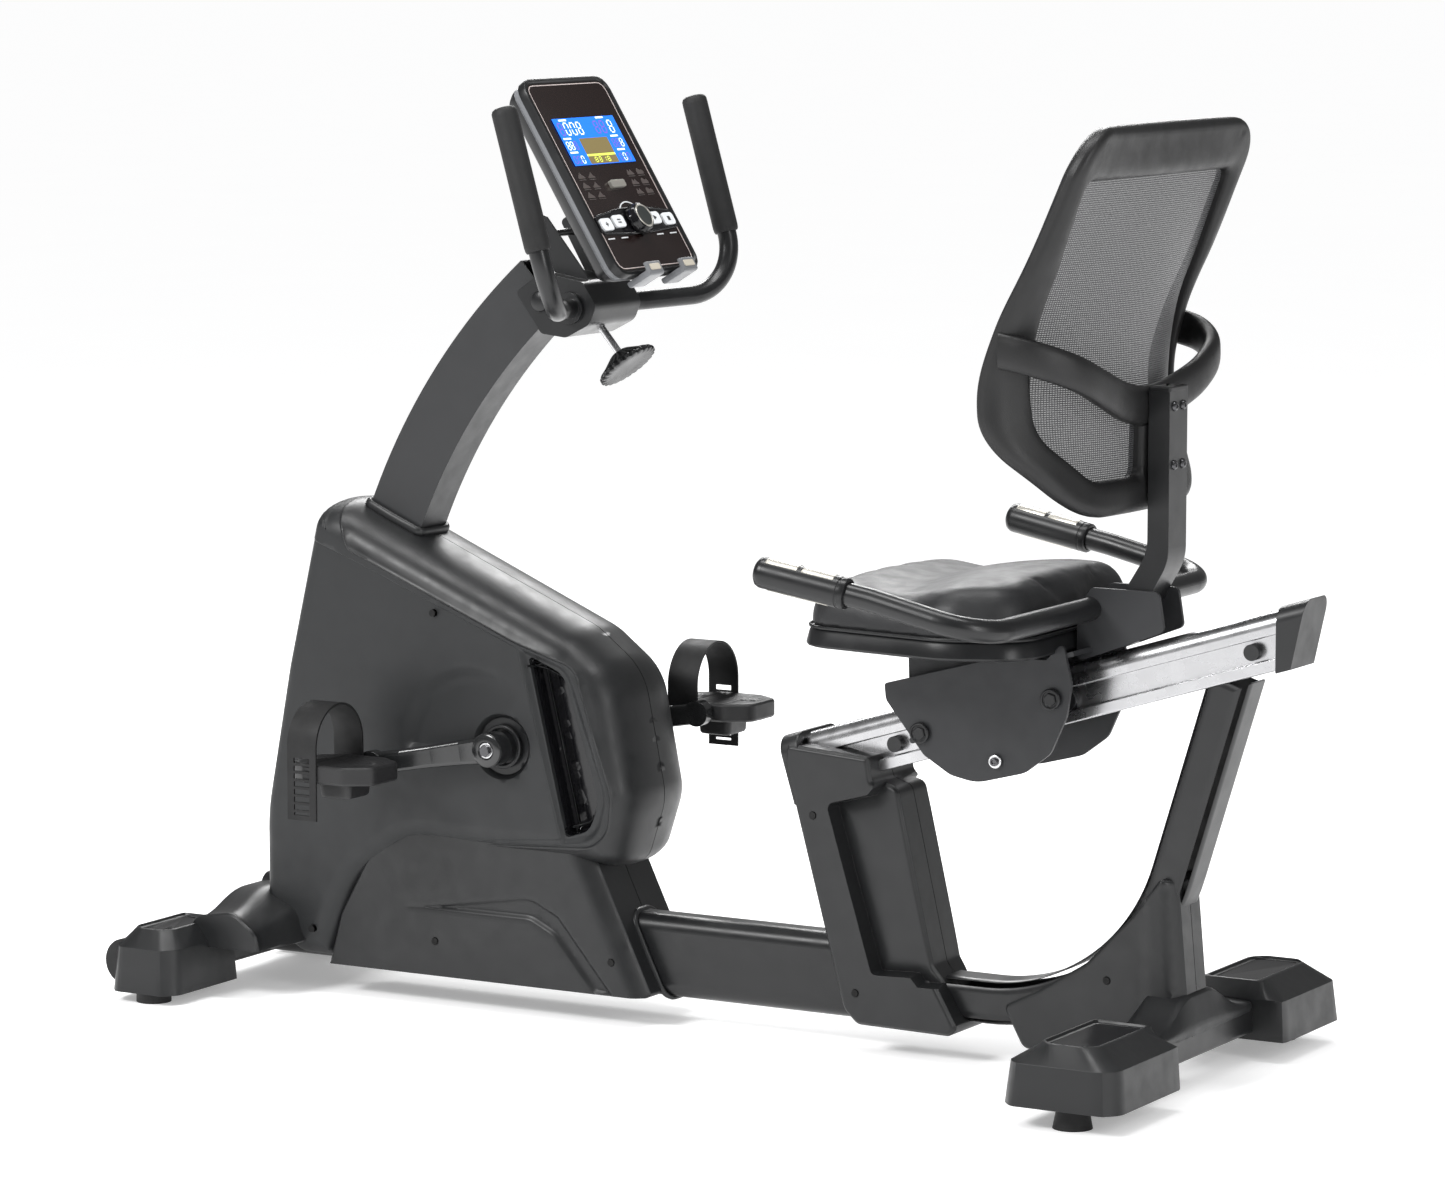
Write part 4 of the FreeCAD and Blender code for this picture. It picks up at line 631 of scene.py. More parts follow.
def skirt_height(points):
    """Lower skirt: flat side with a folded blade-shaped relief and a rounded rear edge."""
    depth, _ = to_loop(points, SKIRT_OUTLINE)
    rise = np.full(len(points), SKIRT_HALF_WIDTH)
    rear = -((points[:, 0] + 97) * 0.901 + (points[:, 1] - 40) * 0.433)
    rise -= 14.0 * (1 - smooth(rear, 0.0, 30)) ** 2
    rise -= 3.0 * (1 - smooth(depth, 0.0, 3)) * (points[:, 1] > 42)
    blade, _ = to_loop(points, BLADE)
    rise -= 4.5 * smooth(blade, 0.0, 7)
    return drilled(rise, points, SCREW_HOLES, 9.0)


def housing_skirt(side_name):
    """Lower skirt of the housing, set in from the body above it."""
    loops = [(BLADE, [0, 1, 3, 5, 7])] + hole_loops(SCREW_HOLES[1:3])
    side_relief("housing_" + side_name + "_skirt", SIDES[side_name], SKIRT_OUTLINE, [0.7, 1.5, 3], loops,
                8.0, skirt_height, COVER_FINISHES, hole_zone(SCREW_HOLES))


for side_name in SIDES:
    housing_body(side_name)
    housing_skirt(side_name)


# ------------------------------------------------------------------ backrest

BACK_HEIGHTS = np.array([690, 760, 850, 930, 1010, 1090, 1180.0])
BACK_MIDDLE = np.array([545, 545, 548, 548, 551, 557, 566.0])
BACK_EDGE = np.array([520, 468, 447, 470, 512, 549, 590.0])
BACK_HALF = 238.0
BACK_CENTRE = 15.0
BACK_OUTLINE = rounded([(-150, 700), (150, 700), (238, 790), (238, 1000), (232, 1168), (-232, 1168),
                        (-238, 1000), (-238, 790)], [110, 110, 90, 400, 62, 62, 400, 90], 6)
BACK_WINDOW = rounded([(22, 742), (120, 742), (188, 800), (198, 900), (204, 1104), (-204, 1104),
                       (-198, 900), (-188, 800), (-120, 742), (-22, 742), (-22, 838), (22, 838)],
                      [14, 50, 60, 300, 16, 16, 300, 60, 50, 14, 8, 8], 6)


def eased(at, stations, values):
    """Smooth curve through values at stations."""
    slopes = np.gradient(values, stations)
    k = np.clip(np.searchsorted(stations, at) - 1, 0, len(stations) - 2)
    width = stations[k + 1] - stations[k]
    u = np.clip((at - stations[k]) / width, 0, 1)
    return ((2 * u ** 3 - 3 * u ** 2 + 1) * values[k] + (u ** 3 - 2 * u ** 2 + u) * width * slopes[k]
            + (3 * u ** 2 - 2 * u ** 3) * values[k + 1] + (u ** 3 - u ** 2) * width * slopes[k + 1])


def back_front(points):
    """X of the backrest's front face at points (y, z)."""
    middle = eased(points[:, 1], BACK_HEIGHTS, BACK_MIDDLE)
    edge = eased(points[:, 1], BACK_HEIGHTS, BACK_EDGE)
    return middle + (edge - middle) * (points[:, 0] / BACK_HALF) ** 2


def two_sided(name, flat, faces, front, rear, body, materials, slot, sharp=50, along="x"):
    """Closed shell between two faces over the same flat triangles, walled at every edge."""
    count = len(flat)
    if along == "x":
        vertices = [(f, p[0], p[1]) for p, f in zip(flat, front)]
        vertices += [(r, p[0], p[1]) for p, r in zip(flat, rear)]
    else:
        vertices = [(p[0], p[1], f) for p, f in zip(flat, front)]
        vertices += [(p[0], p[1], r) for p, r in zip(flat, rear)]
    sides = {}
    for face in faces:
        for a, b in zip(face, np.roll(face, -1)):
            sides[(int(a), int(b))] = True
    walls = [(a, b, b + count, a + count) for a, b in sides if (b, a) not in sides]
    every = [tuple(int(i) for i in f) for f in faces]
    every += [tuple(int(i) + count for i in f[::-1]) for f in faces] + walls
    return make_outward(name, vertices, every, body, materials, slot, sharp)


def backrest_frame():
    """Soft moulded frame ring with a short strut below the yoke."""
    insets = [0.6, 2, 4, 7, 11, 16]
    flat, faces, _ = relief_mesh(BACK_OUTLINE, insets,
                                 [(BACK_WINDOW, [0, -0.6, -2, -4, -7, -11, -16])], 9.0, lambda p: p[:, 0])
    inside, _ = to_loop(flat[faces].mean(1), BACK_WINDOW)
    faces = faces[inside < 0]
    outer, _ = to_loop(flat, BACK_OUTLINE)
    window, _ = to_loop(flat, BACK_WINDOW)
    edge = np.clip(np.minimum(outer, -window) / 16.0, 0, 1)
    half = 3.0 + 12.0 * np.sqrt(np.maximum(1 - (1 - edge) ** 2.2, 0))
    crease = 2.4 * np.exp(-((flat[:, 1] - 1146) / 5.0) ** 2) * (np.abs(flat[:, 0]) < 190)
    middle = back_front(flat) + BACK_CENTRE
    ring = two_sided("backrest_frame_ring", flat, faces, middle - half, middle + half - crease,
                     "carriage", "skin", "housing_plastic")
    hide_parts("backrest_frame")


def spline_through(points, per_run=8):
    """Points along a smooth curve through the given points."""
    points = np.array(points, float)
    stations = np.concatenate([[0], np.cumsum(np.linalg.norm(np.diff(points, axis=0), axis=1))])
    at = np.concatenate([np.linspace(a, b, per_run, endpoint=False)
                         for a, b in zip(stations[:-1], stations[1:])] + [[stations[-1]]])
    return np.stack([eased(at, stations, points[:, k]) for k in range(points.shape[1])], 1)


def backrest_yoke():
    """Bowed arm from edge to edge behind the mesh, dipping where the post holds it."""
    half_path = [(566, 0, 826), (567, 70, 836), (571, 138, 857), (560, 192, 880), (524, 226, 897),
                 (484, 236, 906)]
    path = spline_through([(x, -y, z) for x, y, z in half_path[:0:-1]] + half_path, 7)
    rings = []
    for i, centre in enumerate(path):
        ahead = path[min(i + 1, len(path) - 1)] - path[max(i - 1, 0)]
        across = np.array([-ahead[1], ahead[0], 0.0])
        across /= np.linalg.norm(across)
        tall = 25.0 - 3.0 * abs(centre[1]) / BACK_HALF
        ring = []
        for k in range(28):
            angle = 2 * math.pi * k / 28
            c, s = math.cos(angle), math.sin(angle)
            u = 11.0 * math.copysign(abs(c) ** 0.75, c)
            v = tall * math.copysign(abs(s) ** 0.75, s)
            ring.append(centre + across * u + np.array([0, 0, v]))
        rings.append(ring)
    loft("backrest_yoke", rings, "carriage", "skin", "housing_plastic")


def backrest_mesh():
    """One stretched mesh sheet held in the frame's groove all round the window."""
    sheet_outline, _ = offset_loop(BACK_OUTLINE, 12)
    flat, faces, _ = relief_mesh(sheet_outline, [4], [], 8.0, lambda p: p[:, 0])
    rows = back_front(flat) + BACK_CENTRE - 3
    vertices = [(x, p[0], p[1]) for p, x in zip(flat, rows)]
    sheet = make_piece("backrest_mesh_sheet", vertices, faces, "carriage", "mesh_cloth", "back_mesh", 60)
    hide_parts("backrest_mesh")


def post_trim():
    """Cap ridge and four button screws on the backrest post."""
    _, post_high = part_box("backrest_post")
    rear, top = post_high[0] / MM - SHIFT, post_high[2] / MM
    outline = rounded(rectangle(rear - 29, -25.5, rear + 0.8, 25.5), 2.5, 3)
    rings = stepped(outline, [(top - 4, 0), (top + 0.6, 0), (top + 1.6, 1.0), (top + 1.6, 6)], level)
    loft("backrest_post_cap", rings, "carriage", "trim", "frame_paint", sharp=30)
    screws = [((rear, y, z), (1, 0, 0)) for z in (top - 22, top - 93) for y in (-12, 12)]
    turned("backrest_post_screws", screws, [(0, 0), (6.2, 0), (6.2, 1.2), (4.8, 3.2), (2.6, 3.8), (2.4, 2.0),
                                            (0, 1.8)], "carriage", "steel_dark", "frame_paint", 20)


# ------------------------------------------------------------------ seat

SEAT_OUTLINE = rounded([(172, -165), (390, -198), (480, -158), (480, 158), (390, 198), (172, 165)],
                       [55, 90, 60, 60, 90, 55], 7)
CLOTH_FRAMES = 20


def seat_height(points):
    """Top of the saddle: front lobe, dip with a slanting fold, then a higher rear dome."""
    x, y = points[:, 0], points[:, 1]
    depth, _ = to_loop(points, SEAT_OUTLINE)
    lobe = 8.0 * np.exp(-((x - 222) / 42) ** 2)
    slant = x - 0.20 * np.abs(y)
    dome = 20.0 * smooth(slant, 268, 372) * (1 - 0.22 * (np.abs(y) / 198) ** 2)
    crest = 48.0 + lobe + dome - 9.0 * (np.abs(y) / 198) ** 2 - 4.0 * smooth(x, 430, 480)
    share = np.clip(1 - np.maximum(depth, 0) / 44.0, 0, 1)
    return 549.5 + crest * np.power(np.maximum(1 - share ** 2.7, 0), 1 / 2.7)


def seat_cushion():
    """Closed foam-filled pad, blown tight by a cloth simulation, with a welt at the rim."""
    flat, faces, top = relief_mesh(SEAT_OUTLINE, [0.4, 1.2, 2.5, 4.5, 7, 11, 16, 22, 29, 37, 46], [], 9.0,
                                   seat_height)
    pad = two_sided("seat_cushion_pad", flat, faces, top, np.full(len(flat), 548.5), "carriage",
                    "vinyl", "seat_vinyl", 70, along="z")
    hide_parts("seat_cushion")
    puff(pad, 0.006, 3.0, 0.004)
    middle = np.array([320.0, 0])
    bead("seat_cushion_welt", offset_loop(SEAT_OUTLINE, 0.6)[0] - middle, (*middle, 551.0), (1, 0, 0),
         (0, 1, 0), (0, 0, 1), 2.0, 2.2, "carriage", "trim", "seat_vinyl")


def puff(obj, voxel, pressure, cap):
    """Blow a closed pad up from inside, no further than the cap, and keep the result."""
    scene = bpy.context.scene
    scene.frame_start, scene.frame_end = 1, CLOTH_FRAMES
    remesh = obj.modifiers.new("remesh", "REMESH")
    remesh.mode = "VOXEL"
    remesh.voxel_size = voxel
    apply_modifiers(obj)
    before = np.empty(len(obj.data.vertices) * 3)
    obj.data.vertices.foreach_get("co", before)
    cloth = obj.modifiers.new("cloth", "CLOTH")
    cloth.settings.use_pressure = True
    cloth.settings.uniform_pressure_force = pressure
    cloth.settings.effector_weights.gravity = 0
    cloth.settings.quality = 4
    cloth.point_cache.frame_end = CLOTH_FRAMES
    for number in range(1, CLOTH_FRAMES + 1):
        scene.frame_set(number)
    apply_modifiers(obj)
    after = np.empty(len(before))
    obj.data.vertices.foreach_get("co", after)
    move = (after - before).reshape(-1, 3)
    length = np.linalg.norm(move, axis=1)
    move *= np.minimum(1, cap / np.maximum(length, 1e-9))[:, None]
    obj.data.vertices.foreach_set("co", (before.reshape(-1, 3) + move).ravel())
    scene.frame_set(1)
    finer = obj.modifiers.new("finer", "SUBSURF")
    finer.levels = finer.render_levels = 1
    apply_modifiers(obj)
    obj.data.polygons.foreach_set("use_smooth", [True] * len(obj.data.polygons))


def apply_modifiers(obj):
    """Replace the mesh by what its modifiers make of it."""
    graph = bpy.context.evaluated_depsgraph_get()
    made = bpy.data.meshes.new_from_object(obj.evaluated_get(graph))
    obj.modifiers.clear()
    obj.data = made


def seat_tray():
    """Moulded tray under the cushion: it flares to a rim, then tucks in to its floor."""
    stages = [(553, 14), (549.5, 3), (545, 0), (534, -3), (529.5, -4), (527, -2.5), (525.5, 3), (523.5, 18),
              (522.5, 34)]
    tray = loft("seat_pan_tray", stepped(SEAT_OUTLINE, stages, level), "carriage", "trim", "seat_vinyl")
    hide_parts("seat_pan")


backrest_frame()
backrest_yoke()
backrest_mesh()
post_trim()
seat_cushion()
seat_tray()


# ------------------------------------------------------------------ covers over the rail post

POST_COVER = rounded([(98, 384), (95, 362), (180, 54), (199, 37), (330, 35), (340, 46), (306, 104),
                      (296, 118), (246, 336), (219, 345), (214, 376)],
                     [3, 14, 24, 14, 12, 8, 14, 10, 12, 8, 3], 4)
POST_POCKET = rounded([(156, 313), (214, 329), (222, 338), (222, 500), (500, 500), (500, 96), (286, 93),
                       (276, 104), (221, 102)], [9, 3, 2, 2, 2, 2, 3, 3, 9], 4)
POST_HOLES = [(137, 297), (198, 77)]
POST_HALF = 60.0
POCKET_HALF = 41.0


def post_cover_height(points):
    """Flat side with a deep pocket that opens on the narrower rear wall."""
    depth, _ = to_loop(points, POST_COVER)
    pocket, _ = to_loop(points, POST_POCKET)
    floor = POCKET_HALF - 7.0 * np.exp(-np.maximum(pocket, 0) / 14.0)
    rise = POST_HALF - (POST_HALF - floor) * smooth(pocket, 0.0, 3.0)
    rise -= 5.0 * (1 - smooth(depth, 0.0, 6.0)) ** 2
    return drilled(rise, points, POST_HOLES, 10.0)


def post_cover(side_name):
    """One half of the cover over the rail post and the joint of the two tubes."""
    loops = [(POST_POCKET, [-1.2, 0, 1, 2, 3, 5, 9, 16])] + hole_loops(POST_HOLES)
    shell = side_relief("post_cover_" + side_name + "_shell", SIDES[side_name], POST_COVER,
                        [0.5, 1.2, 2.2, 3.5, 5, 7], loops, 9.0, post_cover_height, COVER_FINISHES,
                        hole_zone(POST_HOLES))
    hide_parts("post_cover_" + side_name)


RAIL_ANGLE = math.radians(17.1)
RAIL_FOOT = Vector((129.6, 0, 328))


def on_rail(along, across, up):
    """Point in the rail's own frame."""
    c, s = math.cos(RAIL_ANGLE), math.sin(RAIL_ANGLE)
    return (RAIL_FOOT.x + along * c - up * s, across, RAIL_FOOT.z + along * s + up * c)


def rail_collar():
    """Rounded arch of the post cover around the front end of the rail."""
    arch = rounded([(-59, -14), (-59, 74), (59, 74), (59, -14), (47, -14), (47, 62), (-47, 62), (-47, -14)],
                   [1, 24, 24, 1, 1, 14, 14, 1], 5)
    stages = [(-25, 3), (-25, 1.2), (-24, 0.2), (-22, 0), (-2, 0), (0, 0.2), (1, 1.2), (1, 3)]
    rings = stepped(arch, stages, lambda station, p: on_rail(station, p[0], p[1]))
    loft("post_cover_rail_collar", rings, "frame", "shell", "housing_plastic")


def tube_collar(name, centre, width, height, thickness, lean):
    """Rounded ring around a tube, standing across X and leaning back by an angle."""
    outline = rounded(rectangle(-width, -height, width, height), min(width, height) * 0.72, 5)
    bead(name, outline, centre, (0, 1, 0), (math.sin(lean), 0, math.cos(lean)), (1, 0, 0), thickness,
         thickness * 1.3)


# ------------------------------------------------------------------ covers over the rear beam

REAR_COVER = rounded([(395, 78), (423, 27), (582, 30), (648, 64), (640, 98), (626, 252), (608, 256),
                      (571, 208), (508, 142), (440, 100)], [8, 14, 8, 4, 10, 4, 6, 60, 60, 40], 4)
REAR_HOLE = [(537, 124)]
REAR_HALF = 41.0


def rear_cover_height(points):
    """Flat wing with a thin lip along its curved edge and a taller rounded tower behind."""
    depth, _ = to_loop(points, REAR_COVER)
    rise = np.full(len(points), REAR_HALF)
    tower = points[:, 0] - (586 + (points[:, 1] - 100) * -0.02)
    rise += 3.0 * smooth(tower, 0, 8)
    rise -= 14.0 * (1 - smooth(640 - (points[:, 1] - 98) * 0.09 - points[:, 0], 0, 20)) ** 2
    rise -= 2.6 * (1 - smooth(depth, 0.0, 3.2))
    return drilled(rise, points, REAR_HOLE, 10.0)


def rear_cover(side_name):
    """One half of the cover around the rear tube."""
    shell = side_relief("rear_cover_" + side_name + "_shell", SIDES[side_name], REAR_COVER,
                        [0.5, 1.2, 2.2, 3.5, 6], hole_loops(REAR_HOLE), 8.0, rear_cover_height,
                        COVER_FINISHES, hole_zone(REAR_HOLE))
    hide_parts("rear_cover_" + side_name)


def rear_foot_fairing():
    """Bevelled saddle of the rear cover over the beam, swept up to the tower."""
    rings = []
    for y in np.concatenate([[-142, -141, -138], np.linspace(-132, 132, 34), [138, 141, 142]]):
        reach = abs(y)
        end = 1 - smooth(reach, 134, 142)
        blend = 1 - smooth(reach, 26, 140)
        front, rear = 590 - 22 * blend, 651 + 3 * blend
        top = 78 + 36 * blend ** 1.7
        soft = 5 + 6 * blend
        section = rounded([(front, 66), (rear, 66), (rear, 76), (rear - soft, top),
                           (front + soft * 2.2, top + 2), (front, 78)], [1, 2, 3, 5, 7, 4], 3)
        middle = np.array([(front + rear) / 2, 70])
        shrink = 0.90 + 0.10 * end
        rings.append([(middle[0] + (p[0] - middle[0]) * shrink, y, middle[1] + (p[1] - middle[1]) * shrink)
                      for p in even(section, 40)])
    loft("rear_cover_saddle", rings, "frame", "shell", "housing_plastic", sharp=38)


# ------------------------------------------------------------------ end caps and hood

def facet_cap(name, side, inner_y, outer_y, bottom, top, base, crown):
    """Moulded end cap: flared skirt, bevelled shoulder, rounded corners, sunk glossy top panel."""
    middle = top - 23.0
    rings = []
    stages = [(0.0, bottom, 0, 0), (0.03, bottom + 1, 0, 0), (0.5, (bottom + middle) / 2, 0, 0),
              (1.0, middle, 0, 0), (1.0, middle + 1.0, 0.05, 0), (1.0, top - 1.2, 0.95, 0),
              (1.0, top, 1.0, 0.0), (1.0, top + 0.4, 1.0, 3.0), (1.0, top - 2.6, 1.0, 4.6),
              (1.0, top - 3.0, 1.0, 8.0)]
    for rise, z, crest, inset in stages:
        x0 = base[0] + 5 * rise + (crown[0] - base[0] - 5) * crest
        x1 = base[1] - 5 * rise + (crown[1] - base[1] + 5) * crest
        y_in = inner_y + 6 * crest
        y_out = outer_y - 5 * rise - 19 * crest
        near, shoulder, far = y_in + inset, y_out - 18 + inset, y_out - inset
        outline = rounded([(x0 + inset, near), (x1 - inset, near), (x1 - inset, shoulder), (x1 - 16, far),
                           (x0 + 16, far), (x0 + inset, shoulder)], [5, 5, 12, 8, 8, 12], 3)
        rings.append([(p[0], side * p[1], z) for p in even(outline, 72)])
    body = loft(name, rings, "frame", ["shell", "gloss"], "housing_plastic", sharp=34)
    body.data.polygons[-1].material_index = 1
    return body


def end_caps():
    """Two front and two rear caps: inner and outer Y, bottom, top, and X at the base and the crown."""
    for place_name, sizes in {"front": (110, 262, 14, 96, (-811, -705), (-788, -728)),
                              "rear": (148, 333, 27, 101, (537, 690), (576, 652))}.items():
        caps = [facet_cap(place_name + "_cap_" + side_name, side, *sizes)
                for side_name, side in SIDES.items()]
        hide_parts(place_name + "_caps")


def front_hood():
    """Rounded fairing of the housing over the front beam, with a lip at each mouth."""
    rings = []
    for y in np.concatenate([[-172, -171, -168, -164], np.linspace(-156, 156, 40), [164, 168, 171, 172]]):
        reach = abs(y)
        root = 1 - smooth(reach, 60, 168)
        lip = 2.0 * smooth(reach, 163, 167) * (1 - smooth(reach, 169.5, 172))
        front = -737 - 8 * root - lip
        section = rounded([(front, 66), (front, 103 + 25 * root + lip),
                           (-672 - 15 * root, 113 + 22 * root + lip),
                           (-637 + 9 * root + lip, 88 + 24 * root + lip), (-631 + 16 * root + lip, 66)],
                          [2, 26, 30, 24, 2], 4)
        rings.append([(p[0], y, p[1]) for p in even(section, 64)])
    hood = loft("front_hood", rings, "frame", "shell", "housing_plastic", sharp=38)
    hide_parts("front_shroud")


for side_name in SIDES:
    post_cover(side_name)
    rear_cover(side_name)
rail_collar()
tube_collar("post_cover_tube_collar", (301, 0, 76), 35, 31, 3.4, -0.12)
tube_collar("skirt_tube_collar", (-121, 0, 88), 31, 60, 4.2, -0.447)


def mast_lip():
    """Moulded lip lying on the sloping top of the housing, around the foot of the mast."""
    slope = math.radians(-23.4)
    c, s = math.cos(slope), math.sin(slope)
    bead("mast_foot_lip", rounded(rectangle(-46, -35, 46, 35), 11, 4), (-504, 0, 632),
         (c, 0, s), (0, 1, 0), (-s, 0, c), 4.2, 7.0)


def vent_fin(side_name):
    """Slim raised loop inside the side vent."""
    loop = resample(offset_loop(OPENING, 11.0)[0], 5.0)
    x, z = loop.mean(axis=0)
    bead("vent_fin_" + side_name, loop - (x, z), (x, 0, z), (1, 0, 0), (0, 0, 1), (0, SIDES[side_name], 0),
         1.5, 2.6, lifts=housing_height(loop) + 9.0, count=8)


mast_lip()
for side_name in SIDES:
    vent_fin(side_name)
rear_foot_fairing()
end_caps()
front_hood()


# ------------------------------------------------------------------ console

CONSOLE_BASE = Vector((-115, 0, 965))
CONSOLE_TILT = math.radians(-31.5)
CONSOLE_HALF = 102.0
CONSOLE_TALL = 285.0
CONSOLE_POINTS = 110
DIAL_UP = 74.0
KEYS_ACROSS = (-76, -44, 44, 76)


def on_console(out, across, up):
    """Point in the console's own frame: out of the face, across it, and up it."""
    c, s = math.cos(CONSOLE_TILT), math.sin(CONSOLE_TILT)
    return (CONSOLE_BASE.x + out * c + up * s, across, CONSOLE_BASE.z - out * s + up * c)


def on_face(out, point):
    """Console point over a point (across, up) of the face."""
    return on_console(out, point[0], point[1])


def console_shape(inset, radius):
    """Rounded outline of the console, moved inward."""
    side = CONSOLE_HALF - inset
    return rounded(rectangle(-side, inset, side, CONSOLE_TALL - inset), max(radius - inset, 2), 5)


def console_body():
    """Console shell: bulged back, grooved sides, raised bezel and a sunk dark face."""
    stages = [(-40, 16), (-39, 13), (-36, 10), (-26, 4.5), (-21, 3.0), (-20, 4.6), (-13, 4.2), (-12, 0.6),
              (-3, 0.0), (-0.6, 0.6), (0.0, 1.6), (0.0, 4.4), (-0.8, 5.4), (-2.2, 6.2), (-2.4, 7.5)]
    rings = [[on_face(out, p) for p in even(console_shape(inset, 22), CONSOLE_POINTS)]
             for out, inset in stages]
    shell = loft("console_shell", rings, "console", ["trim", "face", "grey_plastic"], "console_plastic",
                 sharp=32)
    shell.data.polygons[-1].material_index = 1
    for index in range(4 * CONSOLE_POINTS, 7 * CONSOLE_POINTS):
        shell.data.polygons[index].material_index = 2
    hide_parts("console_housing")


def flat_marks(name, marks, materials, body="console", slot="console_plastic"):
    """Thin printed shapes on the console face. A mark is (outline, height out, material number)."""
    vertices, faces, indices = [], [], []
    for outline, out, number in marks:
        start = len(vertices)
        count = len(outline)
        vertices += [on_face(o, p) for o in (out, out - 0.35) for p in outline]
        faces.append(tuple(start + k for k in range(count)))
        indices.append(number)
        for k in range(count):
            j = (k + 1) % count
            faces.append((start + j, start + k, start + count + k, start + count + j))
            indices.append(number)
    return make_outward(name, vertices, faces, body, materials, slot, 20, indices)


def bar_mark(x0, y0, x1, y1, width):
    """Outline of a stroke from one point to another."""
    ahead = np.array([x1 - x0, y1 - y0], float)
    ahead /= max(np.linalg.norm(ahead), 1e-6)
    aside = np.array([-ahead[1], ahead[0]]) * width / 2
    a, b = np.array([x0, y0]), np.array([x1, y1])
    return [a - aside, b - aside, b + aside, a + aside]


BLUE, WHITE, PURPLE, OLIVE, LIME = range(5)
LINE, ICON, PRINT = range(3)
SEGMENTS = {"0": "abcdef", "1": "bc", "8": "abcdefg"}


def digit(character, x, y, wide, tall):
    """Strokes of a seven-segment figure."""
    middle = y + tall / 2
    ends = {"a": (x, y + tall, x + wide, y + tall), "b": (x + wide, middle, x + wide, y + tall),
            "c": (x + wide, y, x + wide, middle), "d": (x, y, x + wide, y), "e": (x, y, x, middle),
            "f": (x, middle, x, y + tall), "g": (x, middle, x + wide, middle)}
    inset = wide * 0.12
    strokes = []
    for name in SEGMENTS[character]:
        x0, y0, x1, y1 = ends[name]
        if x0 == x1:
            y0, y1 = min(y0, y1) + inset, max(y0, y1) - inset
        else:
            x0, x1 = x0 + inset, x1 - inset
        strokes.append(bar_mark(x0, y0, x1, y1, wide * 0.2))
    return strokes


def console_display():
    """Back-lit display: blue ground, figures, dim ghost figures and an olive graph area."""
    marks = [(rectangle(-74, 158, 74, 226), -1.2, BLUE), (rectangle(-34, 159, 34, 196), -1.05, OLIVE),
             (rectangle(-34, 170, 34, 173), -0.95, LIME)]
    for x in (-20, -10, 0, 10):
        marks += [(stroke, -0.9, LIME) for stroke in digit("8" if x else "1", x, 161.5, 6, 6.5)]
    for x, figure, tone in [(-68, "8", PURPLE), (-54, "0", WHITE), (-39, "0", WHITE), (-24, "8", WHITE),
                            (18, "8", PURPLE), (33, "8", PURPLE), (52, "8", WHITE)]:
        marks += [(stroke, -0.95, tone) for stroke in digit(figure, x, 202, 9, 17)]
    for x in (-69, -60, -51, 42, 51, 60):
        marks += [(stroke, -0.95, WHITE if abs(x) > 55 else PURPLE) for stroke in digit("8", x, 181, 6, 11)]
        marks += [(stroke, -0.95, WHITE if abs(x) == 51 else PURPLE) for stroke in digit("0", x, 161, 6, 10)]
    for x, y in [(-60, 222), (30, 223), (-70, 195.5), (44, 195.5), (-70, 175.5), (44, 175.5)]:
        marks.append((rectangle(x, y, x + 18, y + 2.4), -0.95, WHITE))
    screen = flat_marks("console_display", marks,
                        ["lcd_blue", "lcd_white", "lcd_purple", "lcd_olive", "lcd_lime"], slot="screen")
    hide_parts("console_screen")


def hill(x, y, kind):
    """Little training-profile icon: peaks over a base line."""
    shapes = [[0, 0.5, 1, 0.6, 0.35, 0], [0, 0.3, 0.6, 1, 0.2, 0], [0, 0.9, 0.35, 0.9, 0.3, 0],
              [0.5, 1, 0.8, 0.5, 0.7, 0.3]]
    tops = shapes[kind % len(shapes)]
    points = [(x - 8, y), (x + 8, y)]
    points += [(x + 8 - 16 * k / (len(tops) - 1), y + 1.5 + 7 * t) for k, t in enumerate(tops[::-1])]
    return points


def console_graphics():
    """Border line, profile icons, turn arc with its ends, and key captions as plain dashes."""
    outer, inner = even(console_shape(9.5, 22), 120), even(console_shape(10.7, 22), 120)
    marks = []
    for k in range(120):
        j = (k + 1) % 120
        marks.append(([outer[k], outer[j], inner[j], inner[k]], -2.0, LINE))
    icons = [(x, y) for y in (140, 126, 112) for x in (-72, -48, 48, 72)]
    for kind, (x, y) in enumerate(icons):
        marks.append((hill(x, y, kind), -2.0, ICON))
        marks.append((bar_mark(x - 8, y - 2, x + 8, y - 2, 0.8), -2.0, ICON))
    turns = np.radians(np.linspace(38, 142, 22))
    near, far = ([(r * math.cos(t), DIAL_UP + r * math.sin(t)) for t in turns] for r in (27.5, 29.3))
    for k in range(len(turns) - 1):
        marks.append(([near[k], near[k + 1], far[k + 1], far[k]], -1.9, PRINT))
    for x0, y0, x1, y1 in [(-34, 19, -28, 19), (28, 19, 34, 19), (31, 16, 31, 22)]:
        marks.append((bar_mark(x0, DIAL_UP + y0, x1, DIAL_UP + y1, 1.4), -1.9, PRINT))
    for across in KEYS_ACROSS:
        marks.append((bar_mark(across - 8, 53, across + 8, 53, 1.6), -2.0, PRINT))
    flat_marks("console_graphics", marks, ["line", "icon", "white_key"])


